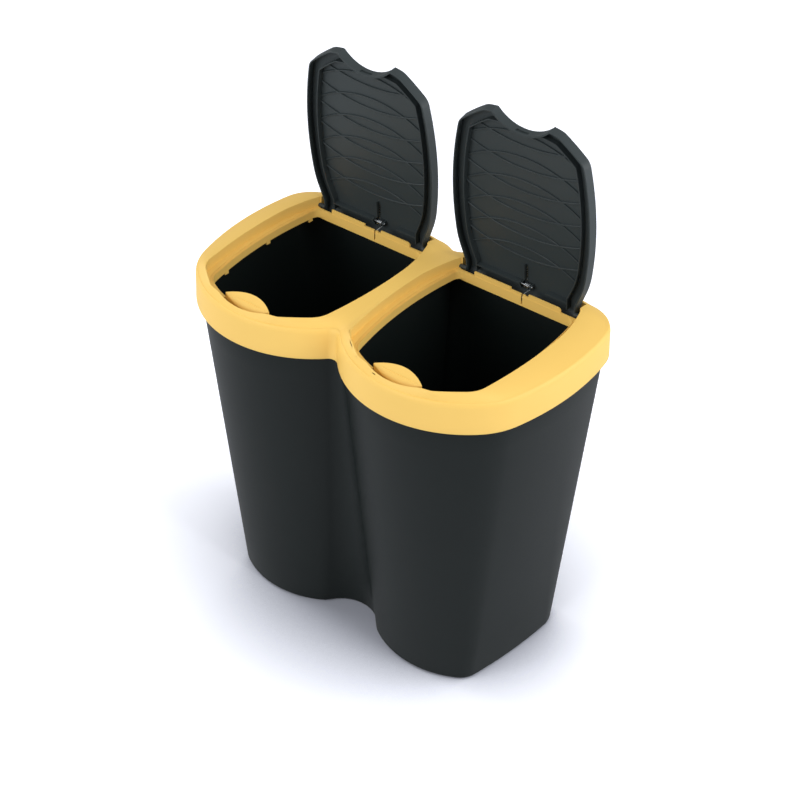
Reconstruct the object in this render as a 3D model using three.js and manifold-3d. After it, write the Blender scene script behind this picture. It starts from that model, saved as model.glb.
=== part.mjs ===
// Double recycling bin: one twin-lobed body with two compartments, a lift-off frame that holds the
// bag edges, and two sprung lids that open when their leaf buttons are pushed.
//
// Millimetres. +Z is up, -Y is the front and +X is the right-hand side seen from the front.
// The origin is on the floor, under the middle of the frame. The lids stand open, as at rest.

import * as THREE from 'three';
import Module from 'manifold-3d';

const wasm = await Module();
wasm.setup();

// ---------------------------------------------------------------- driving sizes

const pitch = 237; // between the two compartments' middles
const clearance = 0.3; // between two pieces that touch

// Half outlines. Each runs from the front centre round to the back as tangent arcs. `radii` are the
// arcs' radii and `turns` the direction, in degrees, that the outline faces where each one ends, with
// -90 the front, 0 the side and 90 the back. `front` is the distance behind the frame's front.
const framePlan = { front: 0, radii: [154, 92, 380, 54], turns: [-45, -16, 10, 90] };
const footPlan = { front: 55.5, radii: [130, 28, 690, 39], turns: [-58, -13, -1.5, 90] };
const crownPlan = {
  front: 11.5,
  radii: [205, 13, 400, 34, 668, 225, 32],
  turns: [-75, -55.5, -50, -9.3, 2.2, 20, 90],
};
const openingPlan = {
  front: 12.8,
  radii: [204, 11.6, 400, 32.6, 667, 224],
  turns: [-75, -55.5, -50, -9.3, 2.2, 21],
};
const flangePlan = { front: 23, radii: [145, 27, 522, 13.5], turns: [-61, -12.5, 8.7, 90] };
const lidPlan = {
  front: 18.5,
  radii: [300, 25, 300, 20.6, 443, 130],
  turns: [-80.5, -56.5, -50, -12.3, 7.6, 22],
};

// body
const bodyHeight = 482.5;
const bodyWall = 2.5;
const floorThickness = 3;
const footRingWidth = 9; // the floor stands on this ring
const footRecess = 2;
const footRound = 6; // rounding of the lower edge
const bodyWaistFoot = 50; // fillet where the two lobes meet, at the floor
const dividerWall = 2.5;

// frame
const frameRise = 17.5; // of its top above the body's edge
const skirtOverlap = 34.5; // how far the skirt comes down outside the body
const frameWall = 2.2;
const bandDrop = 16; // from the frame's top down to the top of the upright skirt
const skirtDraft = 1.2;
const shoulderRise = 6.5; // from the skirt's top to the start of the sloping band
const shoulderInset = 5;
const bandBulge = 0.3; // the sloping band's section is a little round
const frameWaist = 12; // fillet where the lobes meet
const crownWaist = 11;

// opening, ledge and flange in each lobe
const ledgeDrop = 14; // the lid's rim comes down on the ledge
const ledgeThickness = 2;
const flangeDepth = 10.5;
const clipWidth = 7;
const clipDrop = 4;
const clipPlaces = [82, 170, 248]; // behind the frame's front, on each lobe's outer side

// lid hinge and the trough behind the opening
const hingeBehindFront = 269.3;
const hingeDrop = 12.4;
const lidOpenAngle = 85.5;
const troughHalfWidth = 90;
const troughGap = 2.5; // round the lid's rolled back edge
const stripHalfWidth = 66; // upright strip in front of the hinge
const stripAhead = 6.7; // of the hinge axis
const stripRise = 4.5; // above the hinge axis
const stripStep = 2.2; // it stands lower in front of the spring
const stripStepX = -9.4;
const stripRound = 4; // its right end steps down
const stripSlitWidth = 2;
const stripNotch = { from: 5, width: 5, depth: 1.6 }; // to the right of the slit
const cheekWall = 4;
const trunnionRadius = 3;

// lid
const lidSkin = 2;
const lidWall = 2;
const lidDepth = 13.4;
const lidDraft = 1.5; // the skirt draws in towards its rim
const lidEndGap = 4.5; // between the back edge's ends and the trough's
const lidStraight = 10.5; // the sides run straight over this length ahead of the hinge axis
const lidShoulderLean = 0.3; // a parallel outline's straight part is that much longer or shorter
const notchRadius = 56;
const notchBehindFront = 39.8;
const ringWall = 1.6;
const ringDepth = 8.5;
const ringInset = 15.5; // from the lid's edge
const crossRibAhead = 10.7; // of the hinge axis
const crossRibGap = 37; // from the left lug to here the cross rib leaves room for the spring
const waveRibHeight = 1.2;
const waveRibWidth = 1.4;
const waveCount = 6;
const waveBehindFront = 47.1;
const wavePitch = 32.2;
const waveShift = 15.2; // from a rib that arches forward to its partner that arches back
const waveForwardRadius = 156;
const waveBackRadius = 235;
const centreRibDepth = 5; // the rib beside the spring
const centreRibX = 2.5;
const centreRibLength = 37.5; // ahead of the hinge axis
const centreRibTurn = 15.2; // where it turns aside to the lug
const lugX = -3.9;
const lugWall = 2;
const lugRadius = 3.2;

// leaf button
const leafHalfLength = 35.6;
const leafBehindFront = 25.8;
const leafTipDrop = 5;
const leafEndWall = 1.2;
const leafRearRun = 12.8; // from the tips' line back to the rear edge
const leafRearRise = 3;
const leafCreaseRun = 1.7; // the crease across it lies a little behind the tips' line
const leafCreaseDrop = 1.5;
const leafBrowRun = 3.2; // the front face is round
const leafBrowDrop = 3.3;
const leafFrontRun = 6.4;
const leafFrontDrop = 7.5;
const leafDepth = 10.5; // from the tips down to the underside
const scoopRadius = 111; // the frame's edge bows forward round the button
const scoopBehindFront = 9.1;
const scoopHalfWidth = 46;
const buttonAxisBehindFront = 24.1;
const buttonAxisDrop = 25;
const buttonPinRadius = 2;
const buttonStemHalf = 30;
const buttonStemWall = 2.5;
const buttonLugX = 39;
const buttonLugWall = 3;
const buttonRoom = 8; // in front of the pivot, for the button to swing
const nibHalfLength = 8;
const nibReach = 1.3;
const nibDrop = 7;
const nibThickness = 3;
const keeperRoom = 0.4; // round the nib in the lid's notch, besides the clearance

// lid spring and its pin
const springWire = 1.2;
const springCoilRadius = 3.6;
const springSteps = 34; // of an eighth of a turn each
const springPitch = 1.75;
const springStartX = 4.4;
const springAhead = 8; // the shut lid carries it this far ahead of the hinge axis
const springLidLeg = 34; // how far ahead of the hinge axis it lies along the lid
const springSlitLeg = 9; // stands in the strip's slit
const springSlitX = 8;
const springPinRadius = 1.5;
const springPinHead = 1.2;

// ---------------------------------------------------------------- heights and depths

const frameTop = bodyHeight + frameRise;
const frameBottom = bodyHeight - skirtOverlap;
const skirtShoulder = frameTop - bandDrop;
const ledgeHeight = frameTop - ledgeDrop;
const flangeBottom = ledgeHeight - flangeDepth;
const lidTop = frameTop; // the shut lid lies level with the frame
const hingeZ = frameTop - hingeDrop;
const leafTipZ = frameTop - leafTipDrop;
const leafUnder = leafTipZ - leafDepth;
const nibHigh = frameTop - nibDrop;
const nibLow = nibHigh - nibThickness;
const buttonAxisZ = frameTop - buttonAxisDrop;

const frameDepth = outlinePoint(framePlan, 90)[1];
const frontY = -frameDepth / 2;
const hingeY = frontY + hingeBehindFront;
const stripFront = hingeY - stripAhead;
const crossRibY = hingeY - crossRibAhead;
const notchApex = frontY + notchBehindFront;
const leafTipY = frontY + leafBehindFront;
const scoopApex = frontY + scoopBehindFront;
const buttonAxisY = frontY + buttonAxisBehindFront;

// ---------------------------------------------------------------- outlines

function radians(degrees) {
  return (degrees * Math.PI) / 180;
}

const mix = (a, b, share) => a + (b - a) * share;

// Place, on the half outline, of the spot that faces `direction`. `grow` pushes the outline out.
function outlinePoint(plan, direction, grow = 0) {
  let x = 0;
  let y = plan.front - grow;
  let from = -90;
  for (const [i, radius] of plan.radii.entries()) {
    const end = Math.min(direction, plan.turns[i]);
    if (end <= from) break;
    x += (radius + grow) * (Math.cos(radians(end)) - Math.cos(radians(from)));
    y += (radius + grow) * (Math.sin(radians(end)) - Math.sin(radians(from)));
    from = end;
  }
  return [x, y];
}

// An outline is a function from direction to place, in a lobe's own frame.
function outline(plan, grow = 0) {
  return (direction) => {
    const [x, y] = outlinePoint(plan, direction, grow);
    return [x, y + frontY];
  };
}

function blended(first, second, share) {
  return (direction) => {
    const a = first(direction);
    const b = second(direction);
    return [mix(a[0], b[0], share), mix(a[1], b[1], share)];
  };
}

const sideDirections = [-90, -82, -75, -65, -55.5, -50, -42, -33, -24, -16, -12, -8, -4];
const backDirections = [0, 4, 8, 14, 25, 38, 55, 72, 90];
const directions = [...sideDirections, ...backDirections];
const mirrored = (points) => points.map(([x, y]) => [-x, y]).reverse();

// Closed loop round one lobe.
function lobeLoop(shape) {
  const right = directions.map(shape);
  return [...right, ...mirrored(right.slice(1))];
}

// Closed loop that follows a plan's outline as far as it goes and then the points in `back`.
function openBackLoop(plan, grow, back) {
  const last = plan.turns.at(-1);
  const turned = [...directions.filter((d) => d < last), last];
  const right = [...turned.map(outline(plan, grow)), ...back];
  return [...right, ...mirrored(right.slice(1))];
}

// Direction at which a fillet of that radius, centred between the lobes, touches a lobe.
function waistDirection(shape, fillet, back) {
  let outer = back ? 90 : -90;
  let inner = 0;
  const reach = (d) => shape(d)[0] + fillet * Math.cos(radians(d));
  for (let step = 0; step < 50; step += 1) {
    const middle = (outer + inner) / 2;
    if (reach(middle) < pitch / 2) outer = middle;
    else inner = middle;
  }
  return outer;
}

const waistSteps = 4;
const innerSteps = 7;

// Closed loop round both lobes, with a fillet where they meet in front and behind.
function twinLoop(shape, fillet) {
  const half = [];
  const facing = (d) => {
    const [x, y] = shape(d);
    return [pitch / 2 - x, y];
  };
  const waist = (d, share) => {
    const [, y] = shape(d);
    const centre = y + fillet * Math.sin(radians(d));
    const start = d < 0 ? 90 : -d;
    const end = d < 0 ? -d : -90;
    const angle = radians(mix(start, end, share));
    return [fillet * Math.cos(angle), centre + fillet * Math.sin(angle)];
  };
  const front = waistDirection(shape, fillet, false);
  const back = waistDirection(shape, fillet, true);
  for (let i = 0; i < waistSteps; i += 1) half.push(waist(front, i / waistSteps));
  for (let i = 0; i < innerSteps; i += 1) half.push(facing(mix(front, -90, i / innerSteps)));
  for (const d of directions) half.push([pitch / 2 + shape(d)[0], shape(d)[1]]);
  for (let i = 0; i < innerSteps; i += 1) half.push(facing(mix(90, back, i / innerSteps)));
  for (let i = 0; i <= waistSteps; i += 1) half.push(waist(back, i / waistSteps));
  half[0][0] = 0;
  half[half.length - 1][0] = 0;
  return [...half, ...mirrored(half.slice(1, -1))];
}

// ---------------------------------------------------------------- solids

// Closed skin through rings of as many points each. `flat` gives a point's place in the end faces.
function skin(rings, flat) {
  const count = rings[0].length;
  const positions = rings.flat(2);
  const index = [];
  for (let level = 0; level < rings.length - 1; level += 1) {
    for (let i = 0; i < count; i += 1) {
      const a = level * count + i;
      const b = level * count + ((i + 1) % count);
      index.push(a, b, b + count, a, b + count, a + count);
    }
  }
  const lastStart = (rings.length - 1) * count;
  const capOf = (ring) => {
    const contour = ring.map((p) => new THREE.Vector2(...flat(p)));
    const faces = THREE.ShapeUtils.triangulateShape(contour, []);
    return THREE.ShapeUtils.area(contour) < 0 ? faces.map(([a, b, c]) => [a, c, b]) : faces;
  };
  for (const [a, b, c] of capOf(rings[0])) index.push(a, c, b);
  for (const [a, b, c] of capOf(rings.at(-1))) index.push(lastStart + a, lastStart + b, lastStart + c);
  return solid(positions, index);
}

function solid(positions, index) {
  const vertProperties = new Float32Array(positions);
  const triVerts = new Uint32Array(index);
  return new wasm.Manifold(new wasm.Mesh({ numProp: 3, vertProperties, triVerts }));
}

// Upright solid through [height, loop] levels.
function loft(levels) {
  const rings = levels.map(([z, loop]) => loop.map(([x, y]) => [x, y, z]));
  return skin(rings, (p) => [p[0], p[1]]);
}

const upright = (loop, low, high) => loft([[low, loop], [high, loop]]);

// Solid of a [y, z] profile, run across from one x to another.
function across(profile, left, right) {
  const ringAt = (x) => profile.map(([y, z]) => [x, y, z]);
  return skin([ringAt(left), ringAt(right)], (p) => [p[1], p[2]]);
}

function block(x0, x1, y0, y1, z0, z1) {
  return upright([[x0, y0], [x1, y0], [x1, y1], [x0, y1]], z0, z1);
}

// Part of a circle as points, from one angle to the other, in degrees.
function arc(cx, cy, radius, from, to, steps) {
  const points = [];
  for (let i = 0; i <= steps; i += 1) {
    const angle = radians(mix(from, to, i / steps));
    points.push([cx + radius * Math.cos(angle), cy + radius * Math.sin(angle)]);
  }
  return points;
}

const circle = (cx, cy, radius, steps) => arc(cx, cy, radius, 0, 360 - 360 / steps, steps - 1);

// Round bar along X.
const bar = (y, z, radius, left, right, steps = 16) => across(circle(y, z, radius, steps), left, right);

const joined = (...solids) => solids.reduce((a, b) => a.add(b));
const moved = (body, x) => body.translate([x, 0, 0]);
const mirroredSolid = (body) => body.mirror([1, 0, 0]);

function meshOf(name, body, material) {
  const result = body.getMesh();
  const geometry = new THREE.BufferGeometry();
  const position = new THREE.BufferAttribute(new Float32Array(result.vertProperties), 3);
  geometry.setAttribute('position', position);
  geometry.setIndex(Array.from(result.triVerts));
  geometry.computeVertexNormals();
  const mesh = new THREE.Mesh(geometry, material);
  mesh.name = name;
  return mesh;
}

// ---------------------------------------------------------------- body

const frameOutline = (grow) => outline(framePlan, grow);
const skirtInset = (z) => (skirtDraft * (z - frameBottom)) / (skirtShoulder - frameBottom);
const bodyTopInset = frameWall + skirtInset(bodyHeight) + 2 * clearance;

// The body's side at a height: straight draft from the foot to the top edge.
function bodyOutline(z, grow) {
  const share = z / bodyHeight;
  return blended(outline(footPlan, grow), frameOutline(grow - bodyTopInset), share);
}

function bodyWaist(z, grow) {
  return mix(bodyWaistFoot, frameWaist + frameWall + 2 * clearance, z / bodyHeight) - grow;
}

const bodyLoop = (z, grow) => twinLoop(bodyOutline(z, grow), bodyWaist(z, grow));

function buildBody() {
  const roundSteps = [0, 30, 60, 90];
  const rounded = roundSteps.map((angle) => {
    const rise = footRound * (1 - Math.cos(radians(angle)));
    const inset = footRound * (1 - Math.sin(radians(angle)));
    return [rise, bodyLoop(rise, -inset)];
  });
  const outer = loft([...rounded, [bodyHeight, bodyLoop(bodyHeight, 0)]]);
  const innerLoop = (z) => bodyLoop(z, -bodyWall);
  const pockets = loft([
    [floorThickness + footRecess, bodyLoop(floorThickness + footRecess, -bodyWall - footRound)],
    [floorThickness + footRecess + footRound, innerLoop(floorThickness + footRecess + footRound)],
    [bodyHeight + 1, innerLoop(bodyHeight + 1)],
  ]);
  const divider = block(-dividerWall / 2, dividerWall / 2, -frameDepth, frameDepth, -1, bodyHeight + 2);
  const recessInset = -footRound - footRingWidth;
  const recess = loft([[-1, bodyLoop(0, recessInset)], [footRecess, bodyLoop(footRecess, recessInset)]]);
  return outer.subtract(pockets.subtract(divider)).subtract(recess);
}

// ---------------------------------------------------------------- frame

const bandStart = skirtShoulder + shoulderRise;
const bandShares = [0.33, 0.67, 1];

// The frame's outside, or, grown inwards and lowered, its inside.
function frameSkin(grow, lower) {
  const level = (z, shape, fillet) => [z - lower, twinLoop(shape, fillet - grow)];
  const crown = outline(crownPlan, grow);
  const shoulder = frameOutline(grow - shoulderInset);
  const rise = frameTop - bandStart;
  return loft([
    level(frameBottom, frameOutline(grow), frameWaist),
    level(skirtShoulder, frameOutline(grow - skirtDraft), frameWaist),
    level(skirtShoulder + shoulderRise * 0.6, frameOutline(grow - shoulderInset * 0.5), frameWaist),
    level(bandStart, shoulder, frameWaist),
    ...bandShares.map((share) => {
      const shape = blended(shoulder, crown, share);
      const height = share * (1 + bandBulge * (1 - share));
      return level(bandStart + rise * height, shape, mix(frameWaist, crownWaist, share));
    }),
  ]);
}

const rollRadius = lidTop - hingeZ;
const troughRadius = rollRadius + troughGap;
const troughBack = hingeY + troughRadius;

// Section of the trough behind the strip, grown by a wall: a round floor and an upright back.
function troughSection(wall, top) {
  const front = stripFront + frameWall - wall;
  const start = (Math.acos((front - hingeY) / (troughRadius + wall)) * 180) / Math.PI;
  return [...arc(hingeY, hingeZ, troughRadius + wall, -start, 0, 8), [troughBack + wall, top], [front, top]];
}

// Loop of the opening, as far as the hinge, where the trough takes over.
const openingLoop = (grow) => openBackLoop(openingPlan, grow, []);
const flangeLoop = (grow) => lobeLoop(outline(flangePlan, grow));

function scoopLoop(grow) {
  const centre = scoopApex + scoopRadius;
  const half = scoopHalfWidth + grow;
  const radius = scoopRadius + grow;
  const swing = (Math.asin(half / radius) * 180) / Math.PI;
  return [...arc(0, centre, radius, -90 - swing, -90 + swing, 14), [half, leafTipY], [-half, leafTipY]];
}

// What fills each lobe between the outside and the opening, before the opening is cut.
function lobeFill() {
  const ledgeLow = ledgeHeight - ledgeThickness;
  const wide = troughHalfWidth + cheekWall;
  return joined(
    upright(flangeLoop(frameWall), flangeBottom, ledgeHeight),
    upright(openingLoop(frameWall), ledgeLow, frameTop),
    upright(scoopLoop(frameWall), ledgeLow, frameTop),
    across(troughSection(frameWall, frameTop), -wide, wide),
    block(-wide, wide, stripFront - cheekWall, hingeY, ledgeLow, frameTop),
    ...[-1, 1].map((side) => buttonLug(side)),
  );
}

// Ear below the ledge that carries the leaf button's pin.
function buttonLug(side) {
  const inner = buttonLugX;
  const outer = buttonLugX + buttonLugWall;
  const low = buttonAxisZ - buttonPinRadius - 2;
  const front = buttonAxisY - buttonPinRadius - 2;
  const back = buttonAxisY + buttonPinRadius + 2;
  const lug = block(inner, outer, front, back, low, ledgeHeight);
  return side > 0 ? lug : mirroredSolid(lug);
}

// The opening's cut-outs: the well, the ledge, the trough, the scoop and the button's slot.
function lobeCut() {
  const above = frameTop + 5;
  const slot = buttonLugX - clearance;
  const bore = trunnionRadius + clearance;
  const slit = stripSlitWidth / 2;
  const wells = joined(
    upright(flangeLoop(0), flangeBottom - 10, ledgeHeight + 1),
    upright(openingLoop(0), ledgeHeight, above),
    upright(scoopLoop(0), ledgeHeight, above),
    across(troughSection(0, above), -troughHalfWidth, troughHalfWidth),
    block(-slot, slot, buttonAxisY - buttonRoom, buttonAxisY + buttonRoom, flangeBottom - 10, above),
    bar(hingeY, hingeZ, bore, -troughHalfWidth - cheekWall - 1, troughHalfWidth + cheekWall + 1),
    bar(buttonAxisY, buttonAxisZ, buttonPinRadius + clearance, -60, 60),
  );
  const slitCut = block(springSlitX - slit, springSlitX + slit, stripFront - 1, stripFront + frameWall + 1,
    flangeBottom - 1, above);
  return wells.subtract(stripShape()).add(slitCut);
}

// The strip that stands up in front of the hinge. It is lower in front of the spring, with a notch
// beside the slit, and its right end steps down.
function stripShape() {
  const back = stripFront + frameWall;
  const bottom = flangeBottom - 10;
  const top = hingeZ + stripRise;
  const half = stripHalfWidth;
  const notch = springSlitX + stripNotch.from;
  const notchEnd = notch + stripNotch.width;
  const piece = (left, right, height) => block(left, right, stripFront, back, bottom, height);
  const main = piece(-half, half - stripRound, top);
  const end = piece(half - stripRound - 1, half, top - stripRound);
  const sill = piece(-troughHalfWidth, troughHalfWidth, ledgeHeight - 1);
  const cut = (left, right, height) => block(left, right, stripFront - 1, back + 1, height, top + 1);
  const dip = cut(stripStepX, notchEnd, top - stripStep);
  const gap = cut(notch, notchEnd, top - stripStep - stripNotch.depth);
  return joined(main, end, sill).subtract(dip.add(gap));
}

// Small clip under the flange's edge, on the lobe's outer side.
function clip(place, side) {
  const y = frontY + place;
  let low = -45;
  let high = 20;
  const shape = outline(flangePlan, 0);
  for (let step = 0; step < 40; step += 1) {
    const middle = (low + high) / 2;
    if (shape(middle)[1] < y) low = middle;
    else high = middle;
  }
  const x = shape(low)[0];
  const tab = block(x, x + frameWall, y - clipWidth / 2, y + clipWidth / 2, flangeBottom - clipDrop,
    flangeBottom + 1);
  return side > 0 ? tab : mirroredSolid(tab);
}

function buildFrame() {
  const outer = frameSkin(0, 0);
  const inside = frameSkin(-frameWall, frameWall);
  const skirtMouth = upright(twinLoop(frameOutline(-frameWall), frameWaist + frameWall),
    frameBottom - 5, frameBottom);
  let frame = outer.subtract(inside).subtract(skirtMouth);
  for (const side of [-1, 1]) {
    const x = (side * pitch) / 2;
    const fill = moved(lobeFill(), x);
    frame = frame.add(fill.intersect(outer));
  }
  for (const side of [-1, 1]) {
    const x = (side * pitch) / 2;
    frame = frame.subtract(moved(lobeCut(), x));
    for (const place of clipPlaces) frame = frame.add(moved(clip(place, side), x));
  }
  return frame;
}

// ---------------------------------------------------------------- lid, in its closed place

const lidUnder = lidTop - lidSkin;
const lidBackHalfWidth = troughHalfWidth - lidEndGap;
const notchCentre = notchApex - notchRadius;
const notchCut = (radius, low, high) => upright(circle(0, notchCentre, radius, 72), low, high);

// Lid outline down to the hinge line, or as far back as `back`; `grow` pushes it out.
function lidLoop(grow, back) {
  const half = lidBackHalfWidth + grow;
  const shoulder = hingeY - lidStraight + lidShoulderLean * grow;
  return openBackLoop(lidPlan, grow, [[half, shoulder], [half, back]]);
}

const ringLoop = (grow, back) => lidLoop(grow - ringInset, back);

// Narrow rib along part of a circle that crosses the lid from side to side.
function waveRib(centreY, radius, half) {
  const swing = (Math.asin(half / Math.abs(radius)) * 180) / Math.PI;
  const middle = centreY + radius;
  const facing = radius > 0 ? -90 : 90;
  const near = Math.abs(radius) - waveRibWidth / 2;
  const far = Math.abs(radius) + waveRibWidth / 2;
  const outside = arc(0, middle, far, facing - swing, facing + swing, 7);
  const inside = arc(0, middle, near, facing + swing, facing - swing, 7);
  return upright([...outside, ...inside], lidUnder - waveRibHeight, lidUnder + 0.5);
}

// Ring rib, parallel to the lid's edge, with a cross rib near the hinge and waved ribs inside.
function lidRibs() {
  const low = lidUnder - ringDepth;
  const ribs = [];
  for (let i = 0; i < waveCount; i += 1) {
    const place = frontY + waveBehindFront + i * wavePitch;
    ribs.push(waveRib(place, waveForwardRadius, lidBackHalfWidth));
    ribs.push(waveRib(place + waveShift, -waveBackRadius, lidBackHalfWidth));
  }
  const filled = upright(ringLoop(0, hingeY), low, lidUnder + 0.5);
  const inner = upright(ringLoop(-ringWall, hingeY + 1), low - 1, lidUnder + 1);
  const field = upright(ringLoop(-ringWall / 2, crossRibY + ringWall / 2), low, lidUnder + 1);
  const crossPart = (left, right) => block(left, right, crossRibY, crossRibY + ringWall, low, lidUnder + 0.5);
  const cross = crossPart(-lidBackHalfWidth, lugX + lugWall).add(crossPart(crossRibGap, lidBackHalfWidth));
  const waves = joined(...ribs).intersect(field);
  return joined(filled.subtract(inner), cross.intersect(filled), waves, centreRib());
}

// Rib that runs down the lid's middle beside the spring and ends as the left lug.
function centreRib() {
  const half = waveRibWidth / 2;
  const lugMiddle = lugX + lugWall / 2;
  const turn = hingeY - centreRibTurn;
  const route = [[centreRibX, hingeY - centreRibLength], [centreRibX, turn],
    [lugMiddle, hingeY - springAhead], [lugMiddle, hingeY]];
  const right = route.map(([x, y]) => [x + half, y]);
  const left = route.map(([x, y]) => [x - half, y]).reverse();
  return upright([...right, ...left], lidUnder - centreRibDepth, lidUnder + 0.5);
}

// Rolled back edge, round the hinge axis, and the end plates that carry the trunnions.
function lidHinge() {
  const outside = arc(hingeY, hingeZ, rollRadius, 0, 90, 8);
  const inside = arc(hingeY, hingeZ, rollRadius - lidSkin, 90, 0, 8);
  const roll = across([...outside, ...inside], -lidBackHalfWidth, lidBackHalfWidth);
  const plate = across([[hingeY, hingeZ], ...arc(hingeY, hingeZ, rollRadius, 0, 90, 8)],
    lidBackHalfWidth - lidWall, lidBackHalfWidth);
  const boss = bar(hingeY, hingeZ, lugRadius, lidBackHalfWidth - lidWall - 1, lidBackHalfWidth);
  const reach = troughHalfWidth + cheekWall - clearance;
  const trunnion = bar(hingeY, hingeZ, trunnionRadius, lidBackHalfWidth - 1, reach);
  const end = joined(plate, boss, trunnion);
  return joined(roll, end, mirroredSolid(end));
}

const springStepsPerTurn = 8;
const springEndX = springStartX + (springPitch * springSteps) / springStepsPerTurn;
const springAxisY = hingeY - springAhead;
const springLegZ = lidUnder - clearance - springWire / 2;
const springAxisZ = springLegZ - springCoilRadius;
const lugRightX = springEndX + springWire / 2 + clearance;

// Two small lugs that hold the spring's pin in the middle of the lid's back edge.
function lidLugs() {
  const lug = (x) => {
    const round = arc(springAxisY, springAxisZ, lugRadius, 180, 360, 8);
    const profile = [...round, [springAxisY + lugRadius, lidUnder + 0.5],
      [springAxisY - lugRadius, lidUnder + 0.5]];
    return across(profile, x, x + lugWall);
  };
  return lug(lugX).add(lug(lugRightX));
}

function pinBore() {
  const radius = springPinRadius + clearance;
  return bar(springAxisY, springAxisZ, radius, lugX - 2, lugRightX + lugWall + 1);
}

// Channel through the ribs, which the spring's upper leg lies in.
function springChannel() {
  const half = springWire / 2 + clearance;
  return block(springStartX - half, springStartX + half, hingeY - springLidLeg - 1, springAxisY,
    lidUnder - ringDepth - 1, lidUnder);
}

function keeperCut() {
  const low = nibLow - clearance - keeperRoom;
  const high = nibHigh + clearance + keeperRoom;
  const span = block(-nibHalfLength - 1, nibHalfLength + 1, notchApex - 4, notchApex + 4, low, high);
  return upright(circle(0, notchCentre, notchRadius + nibReach + clearance, 72), low, high).intersect(span);
}

function buildLid() {
  const low = lidTop - lidDepth;
  const whole = loft([[low, lidLoop(-lidDraft, hingeY)], [lidTop, lidLoop(0, hingeY)]]);
  const outer = whole.subtract(notchCut(notchRadius, low - 1, lidTop + 1));
  const mouth = lidLoop(-lidWall - lidDraft, hingeY + 1);
  const hollow = loft([[low - 1, mouth], [lidUnder, lidLoop(-lidWall, hingeY + 1)]]);
  const kept = notchCut(notchRadius + lidWall + 0.4, low - 2, lidTop + 2);
  const shell = outer.subtract(hollow.subtract(kept));
  const ribs = lidRibs().subtract(notchCut(notchRadius + 0.5, low - 1, lidTop + 1));
  const cuts = joined(keeperCut(), springChannel(), pinBore());
  return joined(shell, ribs, lidHinge(), lidLugs()).subtract(cuts);
}

// ---------------------------------------------------------------- leaf button

// Cross-sections of the leaf, from tip to tip.
function leafHead() {
  const steps = 12;
  const rings = [];
  const half = leafEndWall / 2;
  for (let i = 0; i <= steps; i += 1) {
    const share = -1 + (2 * i) / steps;
    const full = 1 - share * share;
    const x = share * leafHalfLength;
    const front = leafTipY - half - leafFrontRun * full;
    const rear = leafTipY + half + leafRearRun * full;
    rings.push([
      [x, front, leafUnder],
      [x, rear, leafUnder],
      [x, rear, leafTipZ + leafRearRise * full],
      [x, leafTipY + leafCreaseRun * full, leafTipZ - leafCreaseDrop * full],
      [x, leafTipY - half / 2 - leafBrowRun * full, leafTipZ - leafBrowDrop * full],
      [x, front, leafTipZ - 0.4 - leafFrontDrop * full],
    ]);
  }
  return skin(rings, (p) => [p[1], p[2]]);
}

function buildButton() {
  const stemFront = buttonAxisY - buttonStemWall / 2;
  const stemBack = buttonAxisY + buttonStemWall / 2;
  const stem = block(-buttonStemHalf, buttonStemHalf, stemFront, stemBack, buttonAxisZ, leafUnder + 1);
  const pin = bar(buttonAxisY, buttonAxisZ, buttonPinRadius, -buttonLugX - buttonLugWall,
    buttonLugX + buttonLugWall);
  const rear = leafTipY + leafEndWall / 2 + leafRearRun;
  const nib = block(-nibHalfLength, nibHalfLength, rear - 6, rear + nibReach, nibLow, nibHigh);
  return joined(leafHead(), stem, pin, nib);
}

// ---------------------------------------------------------------- lid spring and pin

// A place that turns with the lid, given behind and above the hinge axis, for the open lid.
function opened(behind, above) {
  const angle = radians(lidOpenAngle);
  const y = hingeY + behind * Math.cos(angle) + above * Math.sin(angle);
  return [y, hingeZ - behind * Math.sin(angle) + above * Math.cos(angle)];
}

// Centre line of the spring: down the lid's underside, round the pin and into the strip's slit.
// It is made for the open lid, which is how it rests.
function springLine() {
  const above = springAxisZ - hingeZ;
  const [axisY, axisZ] = opened(-springAhead, above);
  const points = [[springStartX, ...opened(-springLidLeg, springLegZ - hingeZ)]];
  for (let i = 0; i <= springSteps; i += 1) {
    const share = i / springStepsPerTurn;
    const angle = radians(90 - lidOpenAngle - 360 * share);
    const y = axisY + springCoilRadius * Math.cos(angle);
    const z = axisZ + springCoilRadius * Math.sin(angle);
    points.push([springStartX + springPitch * share, y, z]);
  }
  const slitY = stripFront + frameWall / 2;
  const low = axisZ - springCoilRadius;
  points.push([springEndX, axisY - springCoilRadius / 2, low - springWire / 3]);
  points.push([springSlitX, slitY + frameWall / 2 + 2 * springWire, low - 4 * springWire]);
  points.push([springSlitX, slitY, low - 7 * springWire]);
  points.push([springSlitX, slitY, hingeZ - springSlitLeg]);
  return points.map((p) => new THREE.Vector3(...p));
}

function springGap(line) {
  let least = Infinity;
  for (let i = 0; i < line.length; i += 1) {
    for (let j = i + springStepsPerTurn - 2; j < line.length; j += 1) {
      least = Math.min(least, line[i].distanceTo(line[j]) - springWire);
    }
  }
  return least;
}

function buildSpring() {
  const line = springLine();
  console.log(`spring: least gap to itself ${springGap(line).toFixed(2)} mm`);
  const sides = 5;
  const rings = line.map((point, i) => {
    const before = line[Math.max(i - 1, 0)];
    const after = line[Math.min(i + 1, line.length - 1)];
    const along = after.clone().sub(before).normalize();
    const side = new THREE.Vector3(1, 0, 0).addScaledVector(along, -along.x).normalize();
    const up = along.clone().cross(side);
    const ring = [];
    for (let k = 0; k < sides; k += 1) {
      const angle = (2 * Math.PI * k) / sides;
      const spot = point.clone().addScaledVector(side, (springWire / 2) * Math.cos(angle));
      spot.addScaledVector(up, (springWire / 2) * Math.sin(angle));
      ring.push(spot.toArray());
    }
    return ring;
  });
  return skin(rings, (p) => [p[0], p[1]]);
}

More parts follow.
